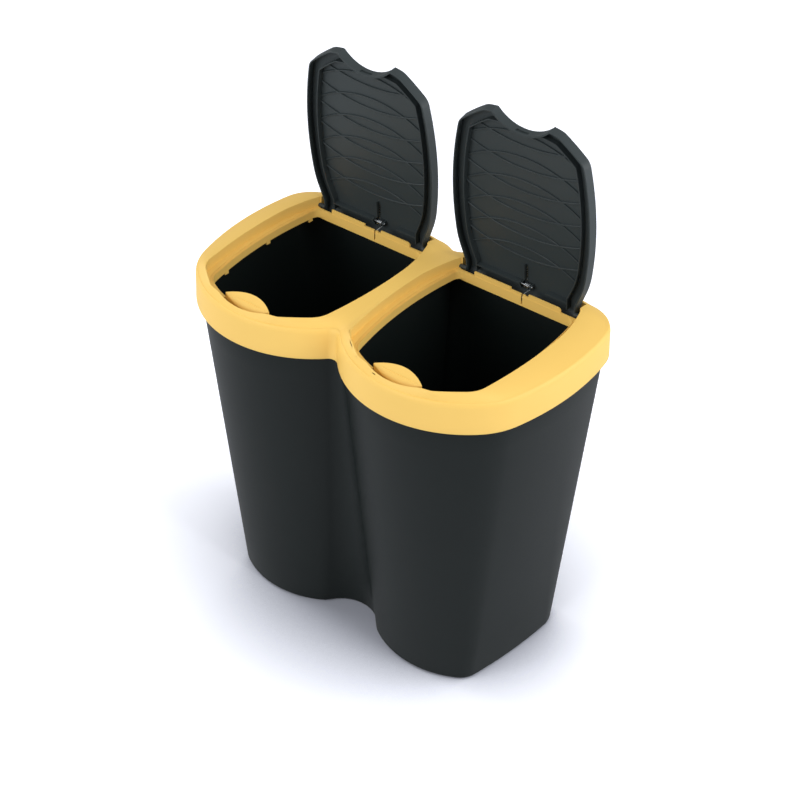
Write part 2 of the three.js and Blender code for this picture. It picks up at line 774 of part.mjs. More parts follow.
// The pin, in the shut lid's place. It turns with the lid.
function buildSpringPin() {
  const end = lugRightX + lugWall;
  const shank = bar(springAxisY, springAxisZ, springPinRadius, lugX - 1, end + 1, 12);
  const head = bar(springAxisY, springAxisZ, springPinRadius + 1, end + clearance,
    end + clearance + springPinHead, 12);
  return shank.add(head);
}

// ---------------------------------------------------------------- assembly

const plastic = (color, roughness) => new THREE.MeshStandardMaterial({ color, roughness, metalness: 0 });
const blackPlastic = plastic(0x2b2f30, 0.5);
const lidPlastic = plastic(0x303435, 0.5);
const yellowPlastic = plastic(0xf4c865, 0.45);
const springSteel = new THREE.MeshStandardMaterial({ color: 0x6c6f72, roughness: 0.35, metalness: 1 });
const pinSteel = new THREE.MeshStandardMaterial({ color: 0xb9bcc0, roughness: 0.3, metalness: 1 });

const bin = new THREE.Group();
bin.add(meshOf('body_shell', buildBody(), blackPlastic));
bin.add(meshOf('rim_frame', buildFrame(), yellowPlastic));

const lid = buildLid();
const button = buildButton();
const spring = buildSpring();
const springPin = buildSpringPin();

for (const [name, side] of [['left', -1], ['right', 1]]) {
  const lobe = new THREE.Group();
  lobe.position.x = (side * pitch) / 2;
  bin.add(lobe);
  const hinge = new THREE.Group();
  hinge.position.set(0, hingeY, hingeZ);
  hinge.rotation.x = -radians(lidOpenAngle);
  lobe.add(hinge);
  const pinMesh = meshOf(`spring_pin_${name}`, springPin, pinSteel);
  for (const mesh of [meshOf(`lid_${name}`, lid, lidPlastic), pinMesh]) {
    mesh.position.set(0, -hingeY, -hingeZ);
    hinge.add(mesh);
  }
  lobe.add(meshOf(`latch_${name}`, button, yellowPlastic));
  lobe.add(meshOf(`lid_spring_${name}`, spring, springSteel));
}

export default bin;
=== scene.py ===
"""A double recycling bin: black twin-lobed body, warm yellow frame, two sprung lids standing open.

Sizes are in millimetres and turned to metres where a mesh is made. +Z is up, -Y is the front, and the
origin is on the floor under the middle of the frame.
"""
import logging
import math
from dataclasses import dataclass, field
from enum import Enum
from typing import Callable, Optional, Sequence, Union

import bmesh
import bpy
from mathutils import Matrix, Vector


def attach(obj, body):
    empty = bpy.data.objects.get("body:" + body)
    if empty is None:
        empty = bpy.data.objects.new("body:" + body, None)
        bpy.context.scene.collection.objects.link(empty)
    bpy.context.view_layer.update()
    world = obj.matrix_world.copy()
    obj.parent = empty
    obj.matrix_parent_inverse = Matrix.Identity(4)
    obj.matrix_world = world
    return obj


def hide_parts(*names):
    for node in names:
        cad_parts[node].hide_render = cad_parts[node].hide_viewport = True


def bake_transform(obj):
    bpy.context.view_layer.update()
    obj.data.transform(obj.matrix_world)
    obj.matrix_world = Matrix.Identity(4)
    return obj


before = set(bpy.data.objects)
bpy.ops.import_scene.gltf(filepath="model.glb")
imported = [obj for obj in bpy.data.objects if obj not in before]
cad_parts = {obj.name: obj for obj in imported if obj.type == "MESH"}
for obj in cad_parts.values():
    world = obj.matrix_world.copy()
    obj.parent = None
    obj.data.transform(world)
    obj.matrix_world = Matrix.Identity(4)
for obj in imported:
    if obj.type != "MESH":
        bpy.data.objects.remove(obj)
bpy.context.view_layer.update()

LOG = logging.getLogger("bin")
MM = 0.001

Point2 = tuple[float, float]
Shape = Callable[[float], Point2]
Loop = list[Point2]
Level = tuple[float, Loop]


class Side(Enum):
    """The two lobes of the bin, by the sign of their place across it."""

    LEFT = -1
    RIGHT = 1

    @property
    def label(self) -> str:
        """The lobe's word in the names of its pieces."""
        return self.name.lower()


class Joining(Enum):
    """How one solid is joined with another."""

    ADD = "UNION"
    CUT = "DIFFERENCE"
    KEEP_COMMON = "INTERSECT"


# ---------------------------------------------------------------- outlines


@dataclass(frozen=True)
class Outline:
    """Half outline of a lobe as tangent arcs, from the front centre round to the back.

    Attributes:
        front: How far behind the frame's front edge the outline starts.
        arcs: Pairs of a radius and the direction faced where that arc ends, -90 the front, 90 the back.
    """

    front: float
    arcs: tuple[tuple[float, float], ...]

    def point(self, direction: float, grow: float = 0.0) -> Point2:
        """Finds the place that faces a direction.

        Args:
            direction: Direction faced, in degrees.
            grow: How far the outline is pushed out.

        Returns:
            The place, measured from the outline's own front.
        """
        x, y, start = 0.0, self.front - grow, -90.0
        for radius, stop in self.arcs:
            end = min(direction, stop)
            if end <= start:
                break
            a, b = math.radians(start), math.radians(end)
            x += (radius + grow) * (math.cos(b) - math.cos(a))
            y += (radius + grow) * (math.sin(b) - math.sin(a))
            start = end
        return x, y

    def grown(self, grow: float = 0.0) -> Shape:
        """Gives the outline, pushed out, as a function of direction in the lobe's own place."""
        def shape(direction: float) -> Point2:
            """Finds the outline's place that faces a direction."""
            x, y = self.point(direction, grow)
            return x, y + FRONT_Y
        return shape

    def loop(self, grow: float = 0.0, extra: Sequence[Point2] = ()) -> Loop:
        """Makes the closed loop round a lobe that follows the outline as far as it goes.

        Args:
            grow: How far the outline is pushed out.
            extra: Further points of the right half, behind the outline's end.

        Returns:
            The loop, anticlockwise from above.
        """
        last = self.arcs[-1][1]
        right = [self.grown(grow)(d) for d in directions(last)] + list(extra)
        return right + mirrored(right[1:])


FRAME_PLAN = Outline(0, ((154, -45), (92, -16), (380, 10), (54, 90)))
FOOT_PLAN = Outline(55.5, ((130, -58), (28, -13), (690, -1.5), (39, 90)))
CROWN_PLAN = Outline(11.5, ((205, -75), (13, -55.5), (400, -50), (34, -9.3), (668, 2.2), (225, 20), (32, 90)))
OPENING_PLAN = Outline(12.8, ((204, -75), (11.6, -55.5), (400, -50), (32.6, -9.3), (667, 2.2), (224, 21)))
FLANGE_PLAN = Outline(23, ((145, -61), (27, -12.5), (522, 8.7), (13.5, 90)))
LID_PLAN = Outline(18.5, ((300, -80.5), (25, -56.5), (300, -50), (20.6, -12.3), (443, 7.6), (130, 22)))
FRONT_Y = -FRAME_PLAN.point(90)[1] / 2
PITCH = 237.0
STEP = 1.5  # degrees between neighbouring places of an outline
HALVINGS = 50  # of a range, which then is narrower than any number can tell
CLEARANCE = 0.3  # between parts that move on each other
BEYOND = 1.0  # how far a cutter reaches past what it cuts, or a joined solid into its neighbour
FAR = 300.0  # past the bin's front, its back and a lobe's sides; twice this is past its top


def mix(a: float, b: float, share: float) -> float:
    """Goes from a to b by a share."""
    return a + (b - a) * share


def blended(first: Shape, second: Shape, share: float) -> Shape:
    """Makes the outline that lies between two others, by a share of the way."""
    def shape(direction: float) -> Point2:
        """Finds the place between the two outlines that faces a direction."""
        a, b = first(direction), second(direction)
        return mix(a[0], b[0], share), mix(a[1], b[1], share)
    return shape


def directions(last: float = 90.0) -> list[float]:
    """Lists the directions at which outlines are sampled, from the front round to the last one."""
    count = int(round((last + 90) / STEP))
    return [mix(-90.0, last, i / count) for i in range(count + 1)]


def mirrored(points: Loop) -> Loop:
    """Mirrors a run of points left for right, and runs it the other way."""
    return [(-x, y) for x, y in reversed(points)]


def narrowed(low: float, high: float, is_before: Callable[[float], bool]) -> float:
    """Halves a range until it closes in on the place where a test stops being true.

    Args:
        low: The end at which the test is true.
        high: The end at which it isn't.
        is_before: The test.

    Returns:
        The place, on the side where the test is true.
    """
    for _ in range(HALVINGS):
        middle = (low + high) / 2
        if is_before(middle):
            low = middle
        else:
            high = middle
    return low


def waist_direction(shape: Shape, fillet: float, back: bool) -> float:
    """Finds where a fillet between the lobes touches a lobe's outline."""
    def is_outside(direction: float) -> bool:
        """Tells whether the centre of a fillet set against this place lies on the lobe's side."""
        return shape(direction)[0] + fillet * math.cos(math.radians(direction)) < PITCH / 2
    return narrowed(90.0 if back else -90.0, 0.0, is_outside)


def twin_loop(shape: Shape, fillet: float) -> Loop:
    """Makes the closed loop round both lobes, with a fillet where they meet in front and behind.

    Args:
        shape: The outline of the right half of a lobe.
        fillet: The fillet's radius.

    Returns:
        The loop, anticlockwise from above, with as many points for every shape.
    """
    waist_steps, inner_steps = 10, 36

    def waist(direction: float, share: float) -> Point2:
        """Finds a place on the fillet that touches the lobe at a direction."""
        centre = shape(direction)[1] + fillet * math.sin(math.radians(direction))
        start, end = (90.0, -direction) if direction < 0 else (-direction, -90.0)
        angle = math.radians(mix(start, end, share))
        return fillet * math.cos(angle), centre + fillet * math.sin(angle)

    def facing(direction: float) -> Point2:
        """Finds a place on the lobe's side that faces the other lobe."""
        x, y = shape(direction)
        return PITCH / 2 - x, y

    front = waist_direction(shape, fillet, False)
    back = waist_direction(shape, fillet, True)
    half = [waist(front, i / waist_steps) for i in range(waist_steps)]
    half += [facing(mix(front, -90, i / inner_steps)) for i in range(inner_steps)]
    half += [(PITCH / 2 + shape(d)[0], shape(d)[1]) for d in directions()]
    half += [facing(mix(90, back, i / inner_steps)) for i in range(1, inner_steps)]
    half += [waist(back, i / waist_steps) for i in range(waist_steps + 1)]
    half[0] = (0.0, half[0][1])
    half[-1] = (0.0, half[-1][1])
    return half + mirrored(half[1:-1])


def arc(centre: Point2, radius: float, start: float, end: float, steps: int) -> Loop:
    """Lists points along part of a circle, from one angle to another in degrees."""
    points = []
    for i in range(steps + 1):
        angle = math.radians(mix(start, end, i / steps))
        points.append((centre[0] + radius * math.cos(angle), centre[1] + radius * math.sin(angle)))
    return points


def circle(centre: Point2, radius: float, steps: int = 48) -> Loop:
    """Lists the points of a whole circle."""
    return arc(centre, radius, 0, 360 - 360 / steps, steps - 1)


# ---------------------------------------------------------------- solids

MERGE_DISTANCE = 0.01  # vertices nearer than this are one
SLIVER = 0.03  # shorter edges are dissolved


def linked(name: str, data: bpy.types.ID) -> bpy.types.Object:
    """Makes an object of a mesh, curve, lamp or camera and links it to the scene."""
    piece = bpy.data.objects.new(name, data)
    bpy.context.scene.collection.objects.link(piece)
    return piece


def settled(piece: bpy.types.Object) -> bpy.types.Mesh:
    """Takes the result of an object's modifiers as a plain mesh, and removes the modifiers."""
    graph = bpy.context.evaluated_depsgraph_get()
    result = bpy.data.meshes.new_from_object(piece.evaluated_get(graph))
    piece.modifiers.clear()
    return result


class Solid:
    """A closed mesh in millimetres that can be joined with others before it becomes a piece."""

    def __init__(self, rings: list[list[tuple[float, float, float]]]) -> None:
        """Makes the solid from rings of as many points each, and closes its two ends.

        Args:
            rings: The rings, each anticlockwise as seen from the last ring's side.
        """
        count = len(rings[0])
        vertices = [point for ring in rings for point in ring]
        faces = []
        for level in range(len(rings) - 1):
            for i in range(count):
                a = level * count + i
                b = level * count + (i + 1) % count
                faces.append((a, b, b + count, a + count))
        faces.append(tuple(reversed(range(count))))
        faces.append(tuple(range((len(rings) - 1) * count, len(rings) * count)))
        mesh = bpy.data.meshes.new("solid")
        mesh.from_pydata(vertices, [], faces)
        self.piece = linked("solid", mesh)

    @classmethod
    def loft(cls, levels: list[Level]) -> "Solid":
        """Makes an upright solid through loops at rising heights."""
        return cls([[(x, y, z) for x, y in loop] for z, loop in levels])

    @classmethod
    def upright(cls, loop: Loop, low: float, high: float) -> "Solid":
        """Makes an upright solid of one loop."""
        return cls.loft([(low, loop), (high, loop)])

    @classmethod
    def across(cls, profile: Loop, left: float, right: float) -> "Solid":
        """Makes a solid of a side profile, given as (y, z), from one x to another."""
        return cls([[(x, y, z) for y, z in profile] for x in (left, right)])

    @classmethod
    def block(cls, x: Point2, y: Point2, z: Point2) -> "Solid":
        """Makes a plain block between the given limits, only ever as a step towards a piece."""
        return cls.upright([(x[0], y[0]), (x[1], y[0]), (x[1], y[1]), (x[0], y[1])], z[0], z[1])

    @classmethod
    def bar(cls, centre: Point2, radius: float, left: float, right: float) -> "Solid":
        """Makes a round bar across the bin, with its axis at (y, z)."""
        return cls.across(circle(centre, radius), left, right)

    def join(self, other: "Solid", how: Joining = Joining.ADD) -> "Solid":
        """Joins another solid to this one, cuts it away or keeps what they share.

        Args:
            other: The other solid, which is used up.
            how: The kind of joining.

        Returns:
            This solid.
        """
        tool = self.piece.modifiers.new("join", "BOOLEAN")
        tool.operation = how.value
        tool.solver = "MANIFOLD"
        tool.object = other.piece
        self._settle()
        other.drop()
        return self

    def cut(self, *others: "Solid") -> "Solid":
        """Cuts other solids away from this one."""
        for other in others:
            self.join(other, Joining.CUT)
        return self

    def add(self, *others: "Solid") -> "Solid":
        """Joins other solids to this one."""
        for other in others:
            self.join(other)
        return self

    def _settle(self) -> None:
        """Turns the modifiers' result into the solid's own mesh."""
        old = self.piece.data
        self.piece.data = settled(self.piece)
        bpy.data.meshes.remove(old)

    def copy(self) -> "Solid":
        """Makes a second solid of the same shape."""
        twin = object.__new__(Solid)
        twin.piece = self.piece.copy()
        twin.piece.data = self.piece.data.copy()
        bpy.context.scene.collection.objects.link(twin.piece)
        return twin

    def mirror(self) -> "Solid":
        """Makes the solid's mirror image across the lobe's middle, with its faces outwards."""
        twin = self.copy()
        twin.piece.data.transform(Matrix.Scale(-1, 4, (1, 0, 0)))
        twin.piece.data.flip_normals()
        return twin

    def moved(self, matrix: Matrix) -> "Solid":
        """Moves the solid's mesh, which stays in millimetres."""
        self.piece.data.transform(matrix)
        return self

    def drop(self) -> None:
        """Removes the solid."""
        mesh = self.piece.data
        bpy.data.objects.remove(self.piece)
        bpy.data.meshes.remove(mesh)

    def finish(self, name: str, sharp: float = 32.0, edge: float = 0.0) -> bpy.types.Object:
        """Turns the solid into a finished piece in metres.

        Args:
            name: The piece's name.
            sharp: The angle over which an edge is shaded as an edge, in degrees.
            edge: Width of the rounding on such edges, in millimetres.

        Returns:
            The piece, with its object at the origin.
        """
        mesh = self.piece.data
        clean = bmesh.new()
        clean.from_mesh(mesh)
        bmesh.ops.remove_doubles(clean, verts=clean.verts, dist=MERGE_DISTANCE)
        bmesh.ops.dissolve_degenerate(clean, edges=clean.edges, dist=SLIVER)
        clean.to_mesh(mesh)
        clean.free()
        mesh.transform(Matrix.Scale(MM, 4))
        if edge:
            bevel = self.piece.modifiers.new("edge", "BEVEL")
            bevel.width = edge * MM
            bevel.segments = 2
            bevel.limit_method = "ANGLE"
            bevel.angle_limit = math.radians(sharp)
            bevel.use_clamp_overlap = True
            bevel.harden_normals = False
            self._settle()
            mesh = self.piece.data
        mesh.materials.clear()
        mesh.shade_smooth()
        mesh.set_sharp_from_angle(angle=math.radians(sharp))
        mesh.name = name
        self.piece.name = name
        return self.piece


def lobe_place(side: Side) -> Matrix:
    """Gives the move from a lobe's own place to its place in the bin."""
    return Matrix.Translation((side.value * PITCH / 2, 0, 0))


# ---------------------------------------------------------------- materials


def linear(code: str) -> tuple[float, float, float, float]:
    """Turns an sRGB colour such as "#2b2f30" into linear values."""
    parts = [int(code[i:i + 2], 16) / 255 for i in (1, 3, 5)]
    r, g, b = (p / 12.92 if p <= 0.04045 else ((p + 0.055) / 1.055) ** 2.4 for p in parts)
    return r, g, b, 1.0


Feed = Union[bpy.types.NodeSocket, bpy.types.ID, float, int, tuple]
GRAINS_ACROSS = 4  # how many grains lie across a cell of a noise, whose finer detail draws them


def add_node(
    tree: bpy.types.NodeTree,
    kind: str,
    settings: Optional[dict[str, object]] = None,
    inputs: Optional[dict[Union[str, int], Feed]] = None,
) -> bpy.types.Node:
    """Adds a node to a tree.

    Args:
        tree: The tree.
        kind: The node's type.
        settings: The node's own settings, by name.
        inputs: What feeds each socket: another node's output, or a value.

    Returns:
        The node.
    """
    node = tree.nodes.new(kind)
    for name, value in (settings or {}).items():
        setattr(node, name, value)
    for socket, value in (inputs or {}).items():
        if isinstance(value, bpy.types.NodeSocket):
            tree.links.new(value, node.inputs[socket])
        else:
            node.inputs[socket].default_value = value
    return node


def cleared(owner: Union[bpy.types.Material, bpy.types.World]) -> bpy.types.NodeTree:
    """Gives a material or a world an empty node tree."""
    owner.use_nodes = True
    owner.node_tree.nodes.clear()
    return owner.node_tree


def shape_tree(name: str, inputs: dict[str, str]) -> bpy.types.NodeTree:
    """Makes an empty tree of Geometry Nodes, with a geometry output.

    Args:
        name: The tree's name.
        inputs: The kind of each input, by name.

    Returns:
        The tree.
    """
    tree = bpy.data.node_groups.new(name, "GeometryNodeTree")
    tree.interface.new_socket("Geometry", in_out="OUTPUT", socket_type="NodeSocketGeometry")
    for socket, kind in inputs.items():
        tree.interface.new_socket(socket, in_out="INPUT", socket_type="NodeSocket" + kind)
    return tree


def close_tree(tree: bpy.types.NodeTree, shape: bpy.types.NodeSocket, material: bpy.types.NodeSocket) -> None:
    """Ends a tree: makes its instances real, sets the material and gives the result out."""
    real = add_node(tree, "GeometryNodeRealizeInstances", None, {"Geometry": shape})
    dressed = add_node(tree, "GeometryNodeSetMaterial", None,
                       {"Geometry": real.outputs["Geometry"], "Material": material})
    add_node(tree, "NodeGroupOutput", None, {"Geometry": dressed.outputs["Geometry"]})


def run_tree(holder: bpy.types.Object, tree: bpy.types.NodeTree, values: dict[str, object]) -> bpy.types.Mesh:
    """Runs a tree on an object.

    Args:
        holder: The object.
        tree: The tree.
        values: What the tree's inputs get, by name.

    Returns:
        The result as a plain mesh.
    """
    modifier = holder.modifiers.new("tree", "NODES")
    modifier.node_group = tree
    for item in tree.interface.items_tree:
        if item.in_out == "INPUT" and item.name in values:
            modifier[item.identifier] = values[item.name]
    return settled(holder)


@dataclass(frozen=True)
class MouldedPolypropylene:
    """Injection-moulded polypropylene with a fine spark-eroded grain, which gives a broad soft sheen.

    Attributes:
        name: The material's name.
        colour: Colour of the plastic, in sRGB.
        shade: A slightly darker tone that the flow of the moulding leaves, in sRGB.
        roughness: Roughness of the satin face.
        grain_mm: Size of the grain. The real one is 0.1 mm; it is drawn coarse enough to show.
        grain_depth_mm: Height of the grain.
        specular: Strength of the surface reflection.
        flow_mm: Size of the darker and lighter flow marks.
        spread: How far the roughness strays either way.
        bump: Strength of the grain's relief.
        ior: Index of refraction of polypropylene.
    """

    name: str
    colour: str
    shade: str
    roughness: float
    grain_mm: float = 0.5
    grain_depth_mm: float = 0.02
    specular: float = 0.5
    flow_mm: float = 90.0
    spread: float = 0.03
    bump: float = 0.6
    ior: float = 1.49

    def build(self) -> bpy.types.Material:
        """Makes the material's nodes."""
        material = bpy.data.materials.new(self.name)
        tree = cleared(material)
        place = add_node(tree, "ShaderNodeTexCoord").outputs["Object"]
        flow = add_node(tree, "ShaderNodeTexNoise", None,
                        {"Vector": place, "Scale": 1 / (self.flow_mm * MM), "Detail": 2.0, "Roughness": 0.5})
        grain = add_node(tree, "ShaderNodeTexNoise", None,
                         {"Vector": place, "Scale": 1 / (self.grain_mm * MM * GRAINS_ACROSS), "Detail": 3.0})
        colour = add_node(tree, "ShaderNodeMix", {"data_type": "RGBA"},
                          {"Factor": flow.outputs["Fac"], 6: linear(self.colour), 7: linear(self.shade)})
        rough = add_node(tree, "ShaderNodeMapRange", None,
                         {"Value": grain.outputs["Fac"], "To Min": self.roughness - self.spread,
                          "To Max": self.roughness + self.spread})
        bump = add_node(tree, "ShaderNodeBump", None,
                        {"Height": grain.outputs["Fac"], "Distance": self.grain_depth_mm * MM,
                         "Strength": self.bump})
        shader = add_node(tree, "ShaderNodeBsdfPrincipled", None,
                          {"Base Color": colour.outputs[2], "Roughness": rough.outputs["Result"],
                           "Normal": bump.outputs["Normal"], "IOR": self.ior,
                           "Specular IOR Level": self.specular})
        add_node(tree, "ShaderNodeOutputMaterial", None, {"Surface": shader.outputs["BSDF"]})
        return material


@dataclass(frozen=True)
class SpringSteel:
    """Drawn or turned steel: bright metal with fine marks that run round or along it.

    Attributes:
        name: The material's name.
        colour: Colour of the metal, in sRGB.
        roughness: Roughness across the marks.
        mark_mm: Spacing of the drawing marks.
        smoother: How far the roughness falls below its value at the smoothest marks.
        rougher: How far it rises above it at the roughest.
    """

    name: str
    colour: str
    roughness: float
    mark_mm: float = 0.3
    smoother: float = 0.06
    rougher: float = 0.08

    def build(self) -> bpy.types.Material:
        """Makes the material's nodes."""
        material = bpy.data.materials.new(self.name)
        tree = cleared(material)
        place = add_node(tree, "ShaderNodeTexCoord").outputs["Object"]
        marks = add_node(tree, "ShaderNodeTexNoise", None,
                         {"Vector": place, "Scale": 1 / (self.mark_mm * MM * GRAINS_ACROSS), "Detail": 2.0})
        rough = add_node(tree, "ShaderNodeMapRange", None,
                         {"Value": marks.outputs["Fac"], "To Min": self.roughness - self.smoother,
                          "To Max": self.roughness + self.rougher})
        shader = add_node(tree, "ShaderNodeBsdfPrincipled", None,
                          {"Base Color": linear(self.colour), "Metallic": 1.0,
                           "Roughness": rough.outputs["Result"]})
        add_node(tree, "ShaderNodeOutputMaterial", None, {"Surface": shader.outputs["BSDF"]})
        return material


BLACK_PLASTIC = MouldedPolypropylene("polypropylene_black_satin", "#161c1c", "#141a1a", 0.46, specular=0.17)
# The lids' black plastic is painted lighter than the body's black: the lighter colour stands in for light on
# the lids' undersides and skirts.
LID_PLASTIC = MouldedPolypropylene("polypropylene_black_lid_painted_lighter", "#353d3f", "#32393b", 0.5, specular=0.3)
YELLOW_PLASTIC = MouldedPolypropylene("polypropylene_yellow_satin", "#f3ca6e", "#f1c769", 0.5, specular=0.3)
SPRING_WIRE = SpringSteel("steel_spring_wire_drawn", "#a9aeb2", 0.26)
PIN_STEEL = SpringSteel("steel_pin_turned", "#7d8286", 0.30)


# ---------------------------------------------------------------- body


@dataclass
class Body:
    """The black twin-lobed body with a compartment in each lobe."""

    height: float = 482.5
    wall: float = 2.5
    floor: float = 3.0
    foot_ring: float = 9.0
    foot_recess: float = 2.0
    foot_round: float = 6.0
    waist_foot: float = 50.0
    waist_top: float = 14.8
    top_inset: float = 3.95
    divider: float = 2.5
    edge_round: float = 0.5
    first_tier: float = 60.0
    tier_pitch: float = 70.0
    tier_count: int = 6

    def loop(self, z: float, grow: float) -> Loop:
        """Makes the body's loop at a height."""
        share = z / self.height
        shape = blended(FOOT_PLAN.grown(grow), FRAME_PLAN.grown(grow - self.top_inset), share)
        return twin_loop(shape, mix(self.waist_foot, self.waist_top, share) - grow)

    def rounded_levels(self, radius: float, start: float, inset: float) -> list[Level]:
        """Makes the levels of a rounded lower edge.

        Args:
            radius: Radius of the edge.
            start: Height of the flat under the edge.
            inset: How far inside the outer face this skin lies.

        Returns:
            The levels, from the flat up to the upright side.
        """
        levels = []
        for angle in range(0, 91, 10):
            rise = radius * (1 - math.cos(math.radians(angle)))
            draw = radius * (1 - math.sin(math.radians(angle)))
            levels.append((start + rise, self.loop(start + rise, -inset - draw)))
        return levels

    def build(self) -> bpy.types.Object:
        """Makes the body.

        Returns:
            The body as one piece.
        """
        tiers = [self.first_tier + self.tier_pitch * i for i in range(self.tier_count)]
        outer = Solid.loft(self.rounded_levels(self.foot_round, 0, 0)
                           + [(z, self.loop(z, 0)) for z in tiers + [self.height]])
        bottom = self.floor + self.foot_recess
        pockets = Solid.loft(self.rounded_levels(self.foot_round, bottom, self.wall)
                             + [(z, self.loop(z, -self.wall)) for z in tiers + [self.height + BEYOND]])
        half = self.divider / 2
        pockets.cut(Solid.block((-half, half), (-FAR, FAR), (-BEYOND, 2 * FAR)))
        inset = -self.foot_round - self.foot_ring
        recess = Solid.loft([(-BEYOND, self.loop(0, inset)),
                             (self.foot_recess, self.loop(self.foot_recess, inset))])
        outer.cut(pockets, recess)
        piece = outer.finish("body_moulding", edge=self.edge_round)
        piece.data.materials.append(BLACK_PLASTIC.build())
        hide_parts("body_shell")
        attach(piece, "bin_body")
        return piece


# ---------------------------------------------------------------- frame


@dataclass
class Hinge:
    """Where each lid turns, and what the frame and the lid share there.

    Attributes:
        y: Place of the axis behind the middle.
        z: Height of the axis.
        open_angle: The lid's swing, in degrees.
        roll: Outer radius of the lid's rolled back edge.
        trunnion: Radius of the trunnions.
        gap: Room between the roll and the trough.
        trough_half: Half the trough's width.
        cheek: Thickness of the trough's end walls, which hold the trunnions.
    """

    y: float = FRONT_Y + 269.3
    z: float = 487.6
    open_angle: float = 85.5
    roll: float = 12.4
    trunnion: float = 3.0
    gap: float = 2.5
    trough_half: float = 90.0
    cheek: float = 4.0

    def opened(self) -> Matrix:
        """Gives the turn from the shut lid to the open one."""
        there = Matrix.Translation((0, self.y, self.z))
        turn = Matrix.Rotation(-math.radians(self.open_angle), 4, "X")
        return there @ turn @ there.inverted()


@dataclass(frozen=True)
class LeafPlace:
    """What the push leaf shares with the frame that carries it and the lid that it holds.

    Attributes:
        tip_y: Place of the leaf's two tips.
        pivot: Its axis as (y, z).
        pin: Radius of the pivot's pin.
        nib: Lower and upper face of the nib that holds the lid.
        nib_half: Half the nib's width.
        nib_reach: How far the nib stands out behind the leaf.
    """

    tip_y: float = FRONT_Y + 25.8
    pivot: Point2 = (FRONT_Y + 24.1, 475.0)
    pin: float = 2.0
    nib: Point2 = (490.0, 493.0)
    nib_half: float = 8.0
    nib_reach: float = 1.3


HINGE = Hinge()
LEAF = LeafPlace()


